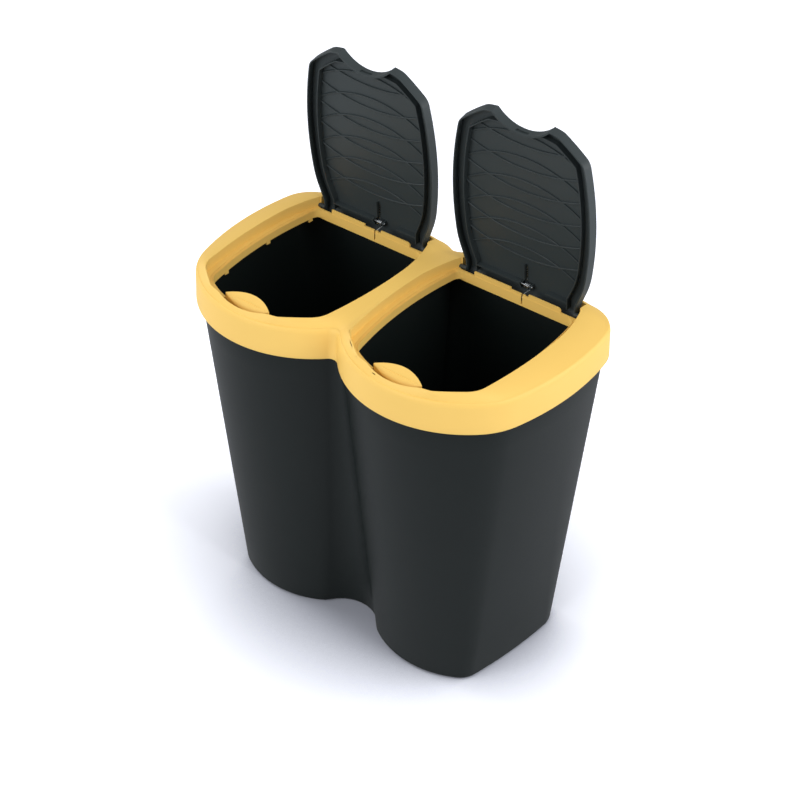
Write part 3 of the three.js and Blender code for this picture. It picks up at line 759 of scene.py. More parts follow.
@dataclass
class BinFrame:
    """The yellow frame over both mouths, with the hinge troughs and the bag clips."""

    bottom: float = 448.0
    top: float = 500.0
    wall: float = 2.2
    shoulder: float = 484.0
    draft: float = 1.2
    rise: float = 6.5
    inset: float = 5.0
    waist: float = 12.0
    crown_waist: float = 11.0
    ledge: float = 486.0
    ledge_thickness: float = 2.0
    flange_bottom: float = 475.5
    clip_width: float = 7.0
    clip_drop: float = 4.0
    clip_places: tuple[float, ...] = (FRONT_Y + 82, FRONT_Y + 170, FRONT_Y + 248)
    strip_half: float = 66.0
    strip_front: float = HINGE.y - 6.7
    strip_top: float = HINGE.z + 4.5
    strip_dip: Point2 = (-9.4, 18.0)
    strip_dip_depth: float = 3.0
    strip_notch: float = 13.0
    strip_notch_depth: float = 0.8
    strip_round: float = 4.0
    slit_x: float = 8.0
    slit_width: float = 2.0
    scoop_radius: float = 111.0
    scoop_apex: float = FRONT_Y + 9.1
    scoop_half: float = 46.0
    bow_step: float = 0.6
    bow_drops: Point2 = (6.2, 5.2)
    lug_x: float = 39.0
    lug_wall: float = 3.0
    lug_rim: float = 2.0
    pin_hole_half: float = 60.0
    swing_room: float = 8.0
    lip_round: float = 0.35
    lip_bend: float = 0.3
    lip_drop: float = 0.12
    skirt_round: float = 0.8
    skirt_tiers: tuple[float, ...] = (0.35, 0.7, 1.0)
    skirt_reach: float = 5.0
    shoulder_lead: float = 2.0
    shoulder_steps: int = 9
    band_steps: int = 11
    band_bulge: float = 0.3
    cut_below: float = 10.0
    cut_above: float = 5.0
    groove_width: float = 0.9
    groove_depth: float = 1.0
    groove_places: tuple[float, ...] = (1.3, 3.9)
    groove_start: float = LEAF.tip_y + 16.0
    groove_end: float = HINGE.y - 12.7

    def skin(self, grow: float, lower: float) -> Solid:
        """Makes the frame's outside, or its inside when drawn in and lowered.

        Args:
            grow: How far the skin is pushed out.
            lower: How far it is lowered.

        Returns:
            The skin as a solid, closed at the bottom and on top.
        """
        def frame_at(inset: float) -> Shape:
            """Gives the frame's outline, drawn in."""
            return FRAME_PLAN.grown(grow - inset)

        levels: list[Level] = []
        if grow == 0:
            for angle in (0, 30, 60, 90):
                rise = self.skirt_round * (1 - math.cos(math.radians(angle)))
                draw = self.skirt_round * (1 - math.sin(math.radians(angle)))
                levels.append((self.bottom + rise, twin_loop(frame_at(draw), self.waist)))
        else:
            levels.append((self.bottom - self.skirt_reach - lower, twin_loop(frame_at(0), self.waist - grow)))
        bend = self.shoulder - self.shoulder_lead
        for share in self.skirt_tiers:
            z = mix(self.bottom, bend, share)
            levels.append((z - lower, twin_loop(frame_at(self.draft * share), self.waist - grow)))
        for i in range(1, self.shoulder_steps):
            share = i / self.shoulder_steps
            z = bend + (self.rise + self.shoulder_lead) * math.sin(share * math.pi / 2)
            draw = self.draft + (self.inset - self.draft) * (1 - math.cos(share * math.pi / 2))
            levels.append((z - lower, twin_loop(frame_at(draw), self.waist - grow)))
        crown = CROWN_PLAN.grown(grow)
        start = self.shoulder + self.rise
        for i in range(self.band_steps):
            share = i / self.band_steps
            z = start + (self.top - start) * ((1 + self.band_bulge) * share - self.band_bulge * share * share)
            shape = blended(frame_at(self.inset), crown, share)
            levels.append((z - lower, twin_loop(shape, mix(self.waist, self.crown_waist, share) - grow)))
        last = CROWN_PLAN.grown(grow - self.lip_round * self.lip_bend)
        levels.append((self.top - self.lip_drop - lower, twin_loop(crown, self.crown_waist - grow)))
        levels.append((self.top - lower, twin_loop(last, self.crown_waist - grow)))
        return Solid.loft(levels)

    def trough(self, grow: float, top: float) -> Loop:
        """Makes the trough's side profile as (y, z), grown by a wall."""
        radius = HINGE.roll + HINGE.gap + grow
        front = self.strip_front + self.wall - grow
        start = math.degrees(math.acos((front - HINGE.y) / radius))
        curve = arc((HINGE.y, HINGE.z), radius, -start, 0, 24)
        return curve + [(HINGE.y + radius, top), (front, top)]

    def scoop(self, grow: float) -> Loop:
        """Makes the loop of the bow in front of the push leaf."""
        half, radius = self.scoop_half + grow, self.scoop_radius + grow
        swing = math.degrees(math.asin(half / radius))
        curve = arc((0, self.scoop_apex + self.scoop_radius), radius, -90 - swing, -90 + swing, 48)
        return curve + [(half, LEAF.tip_y), (-half, LEAF.tip_y)]

    def lug(self) -> Solid:
        """Makes the right-hand ear that carries the push leaf's pivot."""
        y, z = LEAF.pivot
        reach = LEAF.pin + self.lug_rim
        return Solid.block((self.lug_x, self.lug_x + self.lug_wall), (y - reach, y + reach),
                           (z - reach, self.ledge))

    def filling(self) -> Solid:
        """Makes what lies between the outside and the opening in one lobe, still uncut."""
        low = self.ledge - self.ledge_thickness
        wide = HINGE.trough_half + HINGE.cheek
        fill = Solid.upright(FLANGE_PLAN.loop(self.wall), self.flange_bottom, self.ledge)
        fill.add(Solid.upright(OPENING_PLAN.loop(self.wall), low, self.top))
        fill.add(Solid.upright(self.scoop(self.wall), low, self.top))
        fill.add(Solid.across(self.trough(self.wall, self.top), -wide, wide))
        fill.add(Solid.block((-wide, wide), (self.strip_front - HINGE.cheek, HINGE.y), (low, self.top)))
        lug = self.lug()
        fill.add(lug.mirror(), lug)
        return fill

    def strip(self) -> Solid:
        """Makes the strip that stands in front of the hinge, with its dip, its notch and its round end."""
        y = (self.strip_front, self.strip_front + self.wall)
        low, half, top = self.flange_bottom - self.cut_below, self.strip_half, self.strip_top
        sill = Solid.block((-HINGE.trough_half, HINGE.trough_half), y, (low, self.ledge - BEYOND))
        corner = arc((half - self.strip_round, top - self.strip_round), self.strip_round, 0, 90, 12)
        dip_left, dip_right = self.strip_dip
        dip, notch = top - self.strip_dip_depth, top - self.strip_dip_depth - self.strip_notch_depth
        profile = [(-half, low), (half, low)] + corner
        profile += [(dip_right, top), (dip_right, notch), (self.strip_notch, notch), (self.strip_notch, dip)]
        profile += [(dip_left, dip), (dip_left, top), (-half, top)]
        standing = Solid([[(x, y_at, z) for x, z in profile] for y_at in reversed(y)])
        return sill.add(standing)

    def well(self) -> Solid:
        """Makes all that is cut from one lobe: well, ledge, trough, scoop and slot, less the strip."""
        above, below = self.top + self.cut_above, self.flange_bottom - self.cut_below
        lip, bend = self.lip_round, self.lip_round * self.lip_bend
        well = Solid.upright(FLANGE_PLAN.loop(), below, self.ledge + BEYOND)
        flare = [(self.ledge, 0.0), (self.top - lip, 0.0), (self.top - bend, bend),
                 (self.top, lip), (above, lip)]
        well.add(Solid.loft([(z, OPENING_PLAN.loop(grow)) for z, grow in flare]))
        deep, shallow = self.bow_drops
        bow = [(self.ledge, 0.0), (self.top - deep, 0.0), (self.top - shallow, self.bow_step),
               (above, self.bow_step)]
        well.add(Solid.loft([(z, self.scoop(grow)) for z, grow in bow]))
        well.add(Solid.across(self.trough(0, above), -HINGE.trough_half, HINGE.trough_half))
        slot, pivot_y = self.lug_x - CLEARANCE, LEAF.pivot[0]
        well.add(Solid.block((-slot, slot), (pivot_y - self.swing_room, pivot_y + self.swing_room),
                             (below, above)))
        reach = HINGE.trough_half + HINGE.cheek + BEYOND
        well.add(Solid.bar((HINGE.y, HINGE.z), HINGE.trunnion + CLEARANCE, -reach, reach))
        well.add(Solid.bar(LEAF.pivot, LEAF.pin + CLEARANCE, -self.pin_hole_half, self.pin_hole_half))
        well.cut(self.strip())
        slit = self.slit_width / 2
        well.add(Solid.block((self.slit_x - slit, self.slit_x + slit),
                             (self.strip_front - BEYOND, self.strip_front + self.wall + BEYOND),
                             (self.flange_bottom - BEYOND, above)))
        return well

    def groove(self, grow: float) -> Solid:
        """Makes the cutter of a fine groove in the ledge, parallel to the flange.

        Args:
            grow: How far outside the flange the groove's middle lies.

        Returns:
            The cutter, between the push leaf and the hinge.
        """
        half = self.groove_width / 2
        span = (self.ledge - self.groove_depth, self.ledge + BEYOND / 2)
        tall = (span[0] - BEYOND, span[1] + BEYOND)
        line = Solid.upright(FLANGE_PLAN.loop(grow + half), *span)
        line.cut(Solid.upright(FLANGE_PLAN.loop(grow - half), *tall))
        room = Solid.block((-FAR, FAR), (self.groove_start, self.groove_end), tall)
        room.join(Solid.upright(OPENING_PLAN.loop(-self.groove_width), *span), Joining.KEEP_COMMON)
        return line.join(room, Joining.KEEP_COMMON)

    def clip(self, y: float) -> Solid:
        """Makes one small clip under the flange on a lobe's right side."""
        shape = FLANGE_PLAN.grown(0)
        x = shape(narrowed(-45.0, 20.0, lambda direction: shape(direction)[1] < y))[0]
        half = self.clip_width / 2
        return Solid.block((x, x + self.wall), (y - half, y + half),
                           (self.flange_bottom - self.clip_drop, self.flange_bottom + BEYOND))

    def build(self) -> bpy.types.Object:
        """Makes the frame.

        Returns:
            The frame as one piece.
        """
        outer = self.skin(0, 0)
        whole = outer.copy()
        whole.cut(self.skin(-self.wall, self.wall))
        for side in Side:
            fill = self.filling().moved(lobe_place(side))
            fill.join(outer.copy(), Joining.KEEP_COMMON)
            whole.add(fill)
        for side in Side:
            whole.cut(self.well().moved(lobe_place(side)))
            for place in self.groove_places:
                whole.cut(self.groove(place).moved(lobe_place(side)))
            for place in self.clip_places:
                tab = self.clip(place)
                if side is Side.LEFT:
                    flipped = tab.mirror()
                    tab.drop()
                    tab = flipped
                whole.add(tab.moved(lobe_place(side)))
        outer.drop()
        piece = whole.finish("frame_moulding", sharp=30)
        piece.data.materials.append(YELLOW_PLASTIC.build())
        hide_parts("rim_frame")
        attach(piece, "frame")
        return piece


# ---------------------------------------------------------------- lid


@dataclass
class WaveRibs:
    """The thin curved ribs under a lid, made by repeating one arc along the lid.

    Attributes:
        count: How many ribs.
        first: Place of the first rib's middle.
        pitch: Distance between neighbours.
        radius: Radius of the arc, positive where it arches to the front.
        half: Half the width that the arc spans.
        thickness: Thickness of the rib.
    """

    count: int
    first: float
    pitch: float
    radius: float
    half: float = 92.0
    thickness: float = 2.4

    def tree(self) -> bpy.types.NodeTree:
        """Makes the node tree that repeats the arc."""
        sizes = ("First", "Pitch", "Radius", "Start Angle", "Sweep Angle", "Thickness", "Height")
        tree = shape_tree("wave_ribs", {"Count": "Int", **dict.fromkeys(sizes, "Float"),
                                        "Material": "Material"})
        given = add_node(tree, "NodeGroupInput").outputs
        line_start = add_node(tree, "ShaderNodeCombineXYZ", None, {"Y": given["First"], "Z": given["Height"]})
        line_step = add_node(tree, "ShaderNodeCombineXYZ", None, {"Y": given["Pitch"]})
        places = add_node(tree, "GeometryNodeMeshLine", {"mode": "OFFSET"},
                          {"Count": given["Count"], "Start Location": line_start.outputs[0],
                           "Offset": line_step.outputs[0]})
        curve = add_node(tree, "GeometryNodeCurveArc", {"mode": "RADIUS"},
                         {"Resolution": 40, "Radius": given["Radius"], "Start Angle": given["Start Angle"],
                          "Sweep Angle": given["Sweep Angle"]})
        profile = add_node(tree, "GeometryNodeCurvePrimitiveCircle", {"mode": "RADIUS"},
                           {"Resolution": 12, "Radius": given["Thickness"]})
        tube = add_node(tree, "GeometryNodeCurveToMesh", None,
                        {"Curve": curve.outputs["Curve"], "Profile Curve": profile.outputs["Curve"],
                         "Fill Caps": True})
        copies = add_node(tree, "GeometryNodeInstanceOnPoints", None,
                          {"Points": places.outputs["Mesh"], "Instance": tube.outputs["Mesh"]})
        close_tree(tree, copies.outputs["Instances"], given["Material"])
        return tree

    def solid(self, height: float, material: bpy.types.Material) -> Solid:
        """Runs the tree and keeps its result as a solid, for a shut lid in its lobe's own place.

        Args:
            height: Height of the ribs' middle.
            material: The material that the tree sets.

        Returns:
            The ribs.
        """
        holder = linked("wave_ribs", bpy.data.meshes.new("wave_ribs"))
        swing = math.asin(self.half / abs(self.radius))
        middle = -math.pi / 2 if self.radius > 0 else math.pi / 2
        values = {"Count": self.count, "First": self.first + self.radius, "Pitch": self.pitch,
                  "Radius": abs(self.radius), "Start Angle": middle - swing, "Sweep Angle": 2 * swing,
                  "Thickness": self.thickness / 2, "Height": height, "Material": material}
        ribs = object.__new__(Solid)
        old = holder.data
        holder.data = run_tree(holder, self.tree(), values)
        bpy.data.meshes.remove(old)
        ribs.piece = holder
        return ribs


@dataclass
class Lid:
    """A black lid, made shut and then turned open about its hinge."""

    side: Side
    top: float = 500.0
    skin: float = 2.0
    wall: float = 2.0
    depth: float = 13.4
    draft: float = 1.5
    edge: float = 2.6
    rim_edge: float = 0.4
    back_half: float = 85.5
    straight: float = 10.5
    lean: float = 0.3
    notch_radius: float = 56.0
    notch_apex: float = FRONT_Y + 39.8
    ring_wall: float = 1.6
    ring_depth: float = 8.5
    ring_inset: float = 15.5
    cross_rib: float = HINGE.y - 10.7
    cross_gap: Point2 = (-1.9, 37.0)
    rib_sink: float = 0.5
    wave_sink: float = 0.8
    centre_depth: float = 5.0
    centre_half: float = 0.7
    centre_x: float = 2.5
    centre_run: tuple[float, float, float] = (37.5, 15.2, 8.0)
    notch_steps: int = 240
    notch_wall_room: float = 0.4
    rib_notch_room: float = 0.5
    keeper_room: float = 0.4
    keeper_depth: float = 4.0
    lug_radius: float = 3.2
    lug_wall: float = 2.0
    forward: WaveRibs = field(
        default_factory=lambda: WaveRibs(count=6, first=FRONT_Y + 47.1, pitch=32.2, radius=156.0))
    backward: WaveRibs = field(
        default_factory=lambda: WaveRibs(count=6, first=FRONT_Y + 62.3, pitch=32.2, radius=-235.0))

    @property
    def under(self) -> float:
        """Height of the skin's underside."""
        return self.top - self.skin

    @property
    def notch_centre(self) -> Point2:
        """Middle of the circle that the notch is part of."""
        return 0.0, self.notch_apex - self.notch_radius

    def outline(self, grow: float, back: float) -> Loop:
        """Makes the lid's loop down to a line behind, pushed out."""
        half = self.back_half + grow
        return LID_PLAN.loop(grow, [(half, HINGE.y - self.straight + self.lean * grow), (half, back)])

    def ring(self, grow: float, back: float) -> Loop:
        """Makes the loop of the ring rib underneath."""
        return self.outline(grow - self.ring_inset, back)

    def notch(self, grow: float, low: float, high: float) -> Solid:
        """Makes the round cutter of the notch."""
        loop = circle(self.notch_centre, self.notch_radius + grow, self.notch_steps)
        return Solid.upright(loop, low, high)

    def shell(self) -> Solid:
        """Makes the skin with its rim and the notch with its wall."""
        low = self.top - self.depth
        straight_up = 1 - self.edge / self.depth
        levels = [(low, -self.draft - self.rim_edge), (low + self.rim_edge, -self.draft),
                  (self.top - self.edge, -self.draft * (1 - straight_up))]
        for angle in (20, 40, 60, 75, 90):
            rise = self.edge * math.sin(math.radians(angle))
            levels.append((self.top - self.edge + rise, self.edge * (math.cos(math.radians(angle)) - 1)))
        outer = Solid.loft([(z, self.outline(grow, HINGE.y)) for z, grow in levels])
        outer.cut(self.notch(0, low - BEYOND, self.top + BEYOND))
        inside = -self.wall - self.draft
        mouth = [(low - BEYOND, inside + self.rim_edge), (low, inside + self.rim_edge),
                 (low + self.rim_edge, inside), (self.under, -self.wall)]
        hollow = Solid.loft([(z, self.outline(grow, HINGE.y + BEYOND)) for z, grow in mouth])
        hollow.cut(self.notch(self.wall + self.notch_wall_room, low - 2 * BEYOND, self.top + 2 * BEYOND))
        return outer.cut(hollow)

    def ribs(self, material: bpy.types.Material) -> Solid:
        """Makes the ring rib with its cross rib, the waved ribs inside it and the rib beside the spring."""
        low, high = self.under - self.ring_depth, self.under + self.rib_sink
        soft, back = self.rim_edge, self.cross_rib + self.ring_wall
        outside = [(low, -soft), (low + soft, 0), (high, 0)]
        filled = Solid.loft([(z, self.ring(grow, HINGE.y)) for z, grow in outside])
        cross = Solid.block((-self.back_half, self.back_half), (self.cross_rib, back), (low, high))
        cross.cut(Solid.block(self.cross_gap, (self.cross_rib - BEYOND, back + BEYOND),
                              (low - BEYOND, high + BEYOND)))
        cross.join(filled.copy(), Joining.KEEP_COMMON)
        inner = [(low - BEYOND, soft), (low, soft), (low + soft, 0), (high + BEYOND, 0)]
        ring = filled.cut(Solid.loft([(z, self.ring(grow - self.ring_wall, HINGE.y + BEYOND))
                                      for z, grow in inner]))
        ring.add(cross)
        field_loop = self.ring(-self.ring_wall / 2, self.cross_rib + self.ring_wall / 2)
        for family in (self.forward, self.backward):
            waves = family.solid(self.under - self.wave_sink, material)
            waves.join(Solid.upright(field_loop, low, self.under + BEYOND), Joining.KEEP_COMMON)
            ring.add(waves)
        ring.add(self.centre_rib())
        return ring.cut(self.notch(self.rib_notch_room, low - BEYOND, self.top + BEYOND))

    def centre_rib(self) -> Solid:
        """Makes the rib down the lid's middle, which jogs aside at the spring and ends as the left lug."""
        half, x = self.centre_half, self.centre_x
        lug = self.cross_gap[0] - self.lug_wall / 2
        start, bend, jog = self.centre_run
        route = [(x, HINGE.y - start), (x, HINGE.y - bend), (lug, HINGE.y - jog), (lug, HINGE.y)]
        loop = [(x + half, y) for x, y in route] + [(x - half, y) for x, y in reversed(route)]
        return Solid.upright(loop, self.under - self.centre_depth, self.under + self.rib_sink)

    def hinge(self) -> Solid:
        """Makes the rolled back edge and the end plates with their trunnions."""
        axis = (HINGE.y, HINGE.z)
        half = self.back_half
        profile = arc(axis, HINGE.roll, 0, 90, 24) + arc(axis, HINGE.roll - self.skin, 90, 0, 24)
        roll = Solid.across(profile, -half, half)
        for sign in (-1, 1):
            ends = sorted((sign * (half - self.wall), sign * half))
            roll.add(Solid.across([axis] + arc(axis, HINGE.roll, 0, 90, 24), *ends))
            ends = sorted((sign * (half - self.wall - BEYOND), sign * half))
            roll.add(Solid.bar(axis, self.lug_radius, *ends))
            tip = HINGE.trough_half + HINGE.cheek - CLEARANCE
            ends = sorted((sign * (half - BEYOND), sign * tip))
            roll.add(Solid.bar(axis, HINGE.trunnion, *ends))
        return roll

    def lugs(self, spring: "LidSpring") -> Solid:
        """Makes the two lugs that hold the spring's pin."""
        y, z = spring.axis
        profile = arc((y, z), self.lug_radius, 180, 360, 24)
        root = self.under + self.rib_sink
        profile += [(y + self.lug_radius, root), (y - self.lug_radius, root)]
        left, right = spring.lug_places
        lugs = Solid.across(profile, left, left + self.lug_wall)
        return lugs.add(Solid.across(profile, right, right + self.lug_wall))

    def keeper(self) -> Solid:
        """Makes the recess in the notch's wall that the push leaf's nib holds."""
        room = CLEARANCE + self.keeper_room
        low, high = LEAF.nib[0] - room, LEAF.nib[1] + room
        half, deep = LEAF.nib_half + BEYOND, self.keeper_depth
        span = Solid.block((-half, half), (self.notch_apex - deep, self.notch_apex + deep), (low, high))
        return self.notch(LEAF.nib_reach + CLEARANCE, low, high).join(span, Joining.KEEP_COMMON)

    def build(self, material: bpy.types.Material, spring: "LidSpring") -> bpy.types.Object:
        """Makes the lid in its open place.

        Args:
            material: The lid's plastic.
            spring: The spring, which says where its lugs and its way through the ribs are.

        Returns:
            The lid as one piece.
        """
        lid = self.shell()
        lid.add(self.ribs(material), self.hinge(), self.lugs(spring))
        lid.cut(self.keeper(), spring.way(self), spring.bore(self))
        lid.moved(lobe_place(self.side) @ HINGE.opened())
        piece = lid.finish(f"lid_moulding_{self.side.label}", sharp=30)
        piece.data.materials.append(material)
        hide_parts(f"lid_{self.side.label}")
        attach(piece, f"{self.side.label}_lid")
        return piece


# ---------------------------------------------------------------- push leaf


@dataclass
class PushLeaf:
    """The yellow push leaf in front of a lid, on its pivot under the frame."""

    side: Side
    half: float = 35.6
    tip_z: float = 495.0
    end_wall: float = 1.2
    rear_run: float = 12.8
    rear_rise: float = 3.0
    crease_run: float = 1.7
    crease_drop: float = 1.5
    crease_step: float = 0.8
    brow_run: float = 3.2
    brow_drop: float = 3.3
    front_run: float = 6.4
    front_drop: float = 7.5
    under: float = 484.5
    nose_drop: float = 0.4
    lip_edge: float = 0.3
    crease_half: float = 0.15
    steps: int = 72
    stem_half: float = 30.0
    stem_wall: float = 2.5
    reach: float = 42.0
    nib_root: float = 6.0

    def head(self) -> Solid:
        """Makes the leaf through its cross-sections, from tip to tip."""
        wall, edge = self.end_wall / 2, self.lip_edge
        rings = []
        for i in range(self.steps + 1):
            share = -1 + 2 * i / self.steps
            full = 1 - share * share
            x = share * self.half
            front = LEAF.tip_y - wall - self.front_run * full
            rear = LEAF.tip_y + wall + self.rear_run * full
            crease = (LEAF.tip_y + self.crease_run * full, self.tip_z - self.crease_drop * full)
            brow = (LEAF.tip_y - wall / 2 - self.brow_run * full, self.tip_z - self.brow_drop * full)
            nose = (front, self.tip_z - self.nose_drop - self.front_drop * full)
            lip = (rear, self.tip_z + self.rear_rise * full)
            ring = [(front, self.under), (rear, self.under), (rear, lip[1] - edge), (rear - edge, lip[1])]
            ring += [(mix(lip[0] - edge, crease[0], t), mix(lip[1], crease[1], t)) for t in (0.25, 0.5, 0.75)]
            ring += [(crease[0] + self.crease_half, crease[1] + self.crease_step * full),
                     (crease[0] - self.crease_half, crease[1])]
            for t in (0.17, 0.33, 0.5, 0.67, 0.83):
                a, b, c = (1 - t) ** 2, 2 * t * (1 - t), t * t
                bend = (2 * brow[0] - (crease[0] + nose[0]) / 2, 2 * brow[1] - (crease[1] + nose[1]) / 2)
                ring.append((a * crease[0] + b * bend[0] + c * nose[0],
                             a * crease[1] + b * bend[1] + c * nose[1]))
            ring.append(nose)
            rings.append([(x, y, z) for y, z in ring])
        return Solid(rings)

    def build(self, material: bpy.types.Material) -> bpy.types.Object:
        """Makes the push leaf in its place.

        Args:
            material: The leaf's plastic.

        Returns:
            The leaf as one piece.
        """
        y, z = LEAF.pivot
        half, width = self.stem_wall / 2, self.stem_half
        leaf = self.head()
        leaf.add(Solid.block((-width, width), (y - half, y + half), (z, self.under + BEYOND)))
        leaf.add(Solid.bar(LEAF.pivot, LEAF.pin, -self.reach, self.reach))
        rear = LEAF.tip_y + self.end_wall / 2 + self.rear_run
        leaf.add(Solid.block((-LEAF.nib_half, LEAF.nib_half), (rear - self.nib_root, rear + LEAF.nib_reach),
                             LEAF.nib))
        leaf.moved(lobe_place(self.side))
        piece = leaf.finish(f"push_leaf_{self.side.label}", sharp=28)
        piece.data.materials.append(material)
        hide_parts(f"latch_{self.side.label}")
        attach(piece, f"{self.side.label}_latch")
        return piece


# ---------------------------------------------------------------- lid spring


@dataclass
class LidSpring:
    """The wound spring of a lid, with its two legs, and the pin that it is wound on."""

    side: Side
    wire: float = 1.2
    coil_radius: float = 3.6
    turns: float = 4.25
    pitch: float = 1.75
    start_x: float = 4.4
    ahead: float = 8.0
    lid_leg: float = 34.0
    leg_z: float = 497.1
    slit: Point2 = (8.0, HINGE.y - 5.6)
    slit_leg: float = 9.0
    pin_radius: float = 1.5
    head: float = 1.2
    lug_left: float = -3.9
    lug_wall: float = 2.0
    leg_stops: tuple[float, ...] = (24.0, 14.0)
    turn_steps: int = 24
    leg_drops: tuple[float, float, float] = (0.4, 4.8, 8.4)
    slit_lead: float = 3.5
    bend_share: float = 0.35
    wire_sides: int = 14
    pin_edge: float = 0.3
    head_rim: float = 1.0
    head_round: Point2 = (0.2, 0.4)

    @property
    def axis(self) -> Point2:
        """The coil's axis in the shut lid, as (y, z)."""
        return HINGE.y - self.ahead, self.leg_z - self.coil_radius

    @property
    def end_x(self) -> float:
        """Where the coil ends on the frame's side."""
        return self.start_x + self.pitch * self.turns

    @property
    def lug_places(self) -> Point2:
        """The left faces of the two lugs beside the coil."""
        return self.lug_left, self.end_x + self.wire / 2 + CLEARANCE

    def way(self, lid: Lid) -> Solid:
        """Makes the channel through the lid's ribs that the spring's leg lies in."""
        half = self.wire / 2 + CLEARANCE
        return Solid.block((self.start_x - half, self.start_x + half),
                           (HINGE.y - self.lid_leg - BEYOND, HINGE.y - self.ahead),
                           (lid.under - lid.ring_depth - BEYOND, lid.under))

    def bore(self, lid: Lid) -> Solid:
        """Makes the bore for the pin."""
        left, right = self.lug_places
        return Solid.bar(self.axis, self.pin_radius + CLEARANCE,
                         left - 2 * BEYOND, right + lid.lug_wall + BEYOND)

    def coil_path(self) -> list[Vector]:
        """Lists the wire's middle from the leg on the lid to the end of the coil."""
        turn = HINGE.opened()
        middle = turn @ Vector((0, *self.axis))
        stops = (self.lid_leg, *self.leg_stops)
        path = [turn @ Vector((self.start_x, HINGE.y - back, self.leg_z)) for back in stops]
        steps = int(self.turns * self.turn_steps)
        for i in range(steps + 1):
            share = self.turns * i / steps
            angle = math.radians(90 - HINGE.open_angle - 360 * share)
            path.append(Vector((self.start_x + self.pitch * share,
                                middle.y + self.coil_radius * math.cos(angle),
                                middle.z + self.coil_radius * math.sin(angle))))
        return path

    def leg_path(self) -> list[Vector]:
        """Lists the wire's middle from the coil down into the strip's slit."""
        last = self.coil_path()[-1]
        middle = HINGE.opened() @ Vector((0, *self.axis))
        low = middle.z - self.coil_radius
        slit_x, slit_y = self.slit
        first, second, third = self.leg_drops
        knots = [last, Vector((self.end_x, middle.y - self.coil_radius / 2, low - first)),
                 Vector((slit_x, slit_y + self.slit_lead, low - second)),
                 Vector((slit_x, slit_y, low - third)),
                 Vector((slit_x, slit_y, HINGE.z - self.slit_leg))]
        path = [knots[0]]
        for before, knot, after in zip(knots, knots[1:], knots[2:]):
            into, out = knot.lerp(before, self.bend_share), knot.lerp(after, self.bend_share)
            path += [into.lerp(knot, t).lerp(knot.lerp(out, t), t) for t in (0, 0.25, 0.5, 0.75, 1)]
        return path + [knots[-1]]

    def wire_along(self, path: list[Vector], name: str, material: bpy.types.Material) -> bpy.types.Object:
        """Makes round wire along a path with a node tree.

        Args:
            path: The wire's middle, in millimetres in the lobe's own place.
            name: The piece's name.
            material: The wire's steel.

        Returns:
            The wire as one piece.
        """
        curve = bpy.data.curves.new(name, "CURVE")
        curve.dimensions = "3D"
        line = curve.splines.new("POLY")
        line.points.add(len(path) - 1)
        for point, place in zip(line.points, path):
            point.co = (*place, 1)
        holder = linked(name, curve)
        tree = shape_tree("wire", {"Geometry": "Geometry", "Wire Radius": "Float", "Material": "Material"})
        given = add_node(tree, "NodeGroupInput").outputs
        section = add_node(tree, "GeometryNodeCurvePrimitiveCircle", {"mode": "RADIUS"},
                           {"Resolution": self.wire_sides, "Radius": given["Wire Radius"]})
        tube = add_node(tree, "GeometryNodeCurveToMesh", None,
                        {"Curve": given["Geometry"], "Profile Curve": section.outputs["Curve"],
                         "Fill Caps": True})
        close_tree(tree, tube.outputs["Mesh"], given["Material"])
        mesh = run_tree(holder, tree, {"Wire Radius": self.wire / 2, "Material": material})
        bpy.data.objects.remove(holder)
        bpy.data.curves.remove(curve)
        mesh.transform(Matrix.Scale(MM, 4) @ lobe_place(self.side))
        mesh.shade_smooth()
        mesh.set_sharp_from_angle(angle=math.radians(40))
        mesh.name = name
        return linked(name, mesh)

    def pin(self, material: bpy.types.Material) -> bpy.types.Object:
        """Makes the turned pin with its domed head.

        Args:
            material: The pin's steel.

        Returns:
            The pin as one piece.
        """
        left, right = self.lug_places
        end, thin, wide = right + self.lug_wall + CLEARANCE, self.pin_radius, self.pin_radius + self.head_rim
        start, (inner, outer) = left - BEYOND, self.head_round
        stations = [(start, thin - self.pin_edge), (start + self.pin_edge, thin), (end, thin),
                    (end, wide - inner), (end + inner, wide), (end + self.head - outer, wide - inner / 2),
                    (end + self.head, wide - inner - outer)]
        rings = [[(x, y, z) for y, z in circle(self.axis, radius, 32)] for x, radius in stations]
        turned = Solid(rings).moved(lobe_place(self.side) @ HINGE.opened())
        piece = turned.finish(f"turned_pin_{self.side.label}", sharp=40)
        piece.data.materials.append(material)
        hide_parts(f"spring_pin_{self.side.label}")
        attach(piece, f"{self.side.label}_lid")
        return piece

    def build(self, wire_steel: bpy.types.Material, pin_steel: bpy.types.Material) -> list[bpy.types.Object]:
        """Makes the coil, the leg in the strip and the pin.

        Args:
            wire_steel: Steel of the wire.
            pin_steel: Steel of the pin.

        Returns:
            The three pieces.
        """
        coil = self.wire_along(self.coil_path(), f"spring_coil_{self.side.label}", wire_steel)
        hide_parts(f"lid_spring_{self.side.label}")
        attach(coil, f"{self.side.label}_lid")
        leg = self.wire_along(self.leg_path(), f"spring_leg_{self.side.label}", wire_steel)
        foot, joint = self.leg_path()[-3], self.leg_path()[0]
        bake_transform(leg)
        return [coil, leg, self.pin(pin_steel)]


# ---------------------------------------------------------------- studio


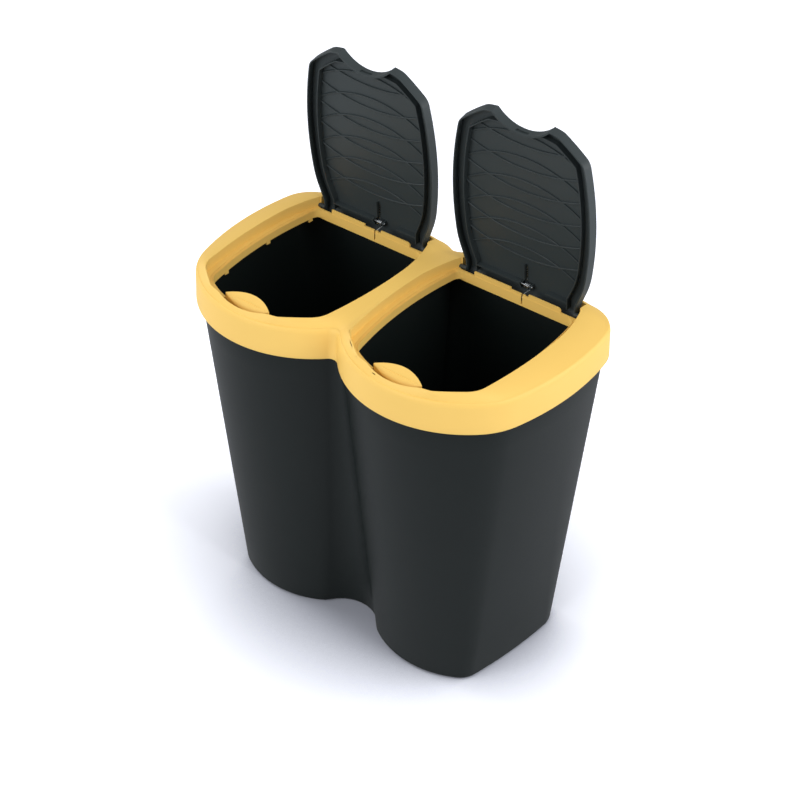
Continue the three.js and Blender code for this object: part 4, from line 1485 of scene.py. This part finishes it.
@dataclass(frozen=True)
class Softbox:
    """A large soft lamp, aimed at the bin's middle.

    Attributes:
        name: The lamp's name.
        place: Where it hangs, in metres.
        width: Its width, in metres.
        height: Its height, in metres.
        power: Its power, in watts.
        colour: Its colour, in sRGB.
        aim: Height that it is aimed at, in metres.
    """

    name: str
    place: tuple[float, float, float]
    width: float
    height: float
    power: float
    colour: str = "#ffffff"
    aim: float = 0.32

    def build(self) -> None:
        """Makes the lamp."""
        lamp = bpy.data.lights.new(self.name, "AREA")
        lamp.shape = "RECTANGLE"
        lamp.size, lamp.size_y = self.width, self.height
        lamp.energy = self.power
        lamp.color = linear(self.colour)[:3]
        holder = linked(self.name, lamp)
        holder.location = self.place
        sight = Vector((0, 0, self.aim)) - Vector(self.place)
        holder.rotation_euler = sight.to_track_quat("-Z", "Y").to_euler()


@dataclass
class Studio:
    """The pale floor, the soft lamps, the surrounding light and the camera.

    Attributes:
        camera_place: Where the camera stands, in millimetres.
        azimuth: How far round to the right it stands, in radians.
        elevation: How steeply it looks down, in radians.
        roll: How far it leans, in radians.
        focal_pixels: Its focal length, in pixels of the picture.
        picture: Width of the picture, in pixels.
        sensor: Width of the camera's sensor, in millimetres.
        floor_size: Width of the floor, in metres.
        seen_floor: The floor that the camera sees in the open, as linear light.
        painted_shadow_floor: The painted bluish shadow that the camera sees on the floor close round the bin.
        lighting_floor: The floor that lights the bin, in sRGB.
        painted_shadow_reach: How far the floor's painted shadow reaches, in metres.
        painted_shadow_span: The openness at which the painted shadow is fullest, and at which it has gone.
        air: Strength of the surrounding light on the bin.
        lamps: The soft lamps.
    """

    camera_place: tuple[float, float, float] = (1186.3, -1466.9, 1740.4)
    azimuth: float = 0.67
    elevation: float = 0.642
    roll: float = 0.012
    focal_pixels: float = 1822.7
    picture: float = 800.0
    sensor: float = 36.0
    floor_size: float = 40.0
    seen_floor: tuple[float, float, float, float] = (1.44, 1.47, 1.58, 1.0)
    painted_shadow_floor: tuple[float, float, float, float] = (0.50, 0.52, 0.60, 1.0)
    lighting_floor: str = "#e4e6ec"
    painted_shadow_reach: float = 0.5
    painted_shadow_span: tuple[float, float] = (0.35, 0.98)
    air: float = 0.35
    lamps: tuple[Softbox, ...] = (
        Softbox("key", (2.6, 0.1, 2.2), 1.6, 2.2, 46),
        Softbox("front", (-0.6, -3.0, 1.8), 2.4, 1.8, 56),
        Softbox("overhead", (0.0, 0.4, 3.4), 2.6, 2.6, 14),
        Softbox("left", (-3.0, -0.4, 1.7), 1.6, 2.0, 34),
        Softbox("side", (2.2, 1.6, 0.9), 1.2, 1.0, 24),
    )

    def camera(self) -> None:
        """Makes the camera at the photograph's place and angle."""
        lens = bpy.data.cameras.new("camera")
        lens.sensor_width = self.sensor
        lens.lens = self.focal_pixels * self.sensor / self.picture
        lens.clip_end = 100
        az, el, roll = self.azimuth, self.elevation, self.roll
        back = Vector((math.sin(az) * math.cos(el), -math.cos(az) * math.cos(el), math.sin(el)))
        level = Vector((math.cos(az), math.sin(az), 0))
        rise = back.cross(level)
        right = math.cos(roll) * level + math.sin(roll) * rise
        up = -math.sin(roll) * level + math.cos(roll) * rise
        turn = Matrix((right, up, back)).transposed().to_4x4()
        holder = linked("camera", lens)
        holder.matrix_world = Matrix.Translation(Vector(self.camera_place) * MM) @ turn
        bpy.context.scene.camera = holder

    def floor(self) -> None:
        """Makes the floor, near white to the camera and pale grey to everything else, with a painted shadow
        that the camera sees close round the bin.
        """
        half = self.floor_size / 2
        mesh = bpy.data.meshes.new("studio_floor")
        corners = [(-half, -half, 0), (half, -half, 0), (half, half, 0), (-half, half, 0)]
        mesh.from_pydata(corners, [], [(0, 1, 2, 3)])
        piece = linked("studio_floor", mesh)
        material = bpy.data.materials.new("paper_backdrop_white_painted_shadow")
        tree = cleared(material)
        rays = add_node(tree, "ShaderNodeLightPath").outputs
        # An occlusion node paints a bluish shadow onto the floor that the camera sees, fullest close round
        # the bin.
        open_air = add_node(tree, "ShaderNodeAmbientOcclusion", {"samples": 16},
                            {"Distance": self.painted_shadow_reach})
        fullest, gone = self.painted_shadow_span
        opened = add_node(tree, "ShaderNodeMapRange", {"interpolation_type": "SMOOTHSTEP"},
                          {"Value": open_air.outputs["AO"], "From Min": fullest, "From Max": gone})
        seen = add_node(tree, "ShaderNodeMix", {"data_type": "RGBA"},
                        {"Factor": opened.outputs["Result"], 6: self.painted_shadow_floor, 7: self.seen_floor})
        tint = add_node(tree, "ShaderNodeMix", {"data_type": "RGBA"},
                        {"Factor": rays["Is Camera Ray"], 6: linear(self.lighting_floor), 7: seen.outputs[2]})
        paper = add_node(tree, "ShaderNodeBsdfDiffuse", None, {"Color": tint.outputs[2]})
        add_node(tree, "ShaderNodeOutputMaterial", None, {"Surface": paper.outputs[0]})
        mesh.materials.append(material)

    def surroundings(self) -> None:
        """Makes the surrounding light, white where the camera looks past the floor."""
        world = bpy.data.worlds.new("studio_air")
        bpy.context.scene.world = world
        tree = cleared(world)
        rays = add_node(tree, "ShaderNodeLightPath").outputs
        strength = add_node(tree, "ShaderNodeMapRange", None,
                            {"Value": rays["Is Camera Ray"], "To Min": self.air, "To Max": 1.0})
        air = add_node(tree, "ShaderNodeBackground", None,
                       {"Color": linear("#ffffff"), "Strength": strength.outputs["Result"]})
        add_node(tree, "ShaderNodeOutputWorld", None, {"Surface": air.outputs["Background"]})

    def build(self) -> None:
        """Makes the whole studio."""
        self.camera()
        self.floor()
        self.surroundings()
        for lamp in self.lamps:
            lamp.build()
        bpy.context.scene.view_settings.view_transform = "Standard"


def main() -> None:
    """Builds the studio and the bin."""
    logging.basicConfig(level=logging.INFO, format="%(message)s")
    Studio().build()
    LOG.info("studio ready")
    pieces = [Body().build(), BinFrame().build()]
    lid_plastic, yellow = LID_PLASTIC.build(), pieces[-1].data.materials[0]
    wire_steel, pin_steel = SPRING_WIRE.build(), PIN_STEEL.build()
    for side in Side:
        spring = LidSpring(side)
        pieces += [Lid(side).build(lid_plastic, spring), PushLeaf(side).build(yellow)]
        pieces += spring.build(wire_steel, pin_steel)
    for piece in pieces:
        LOG.info("%s: %d faces", piece.name, len(piece.data.polygons))


if __name__ == "__main__":
    main()
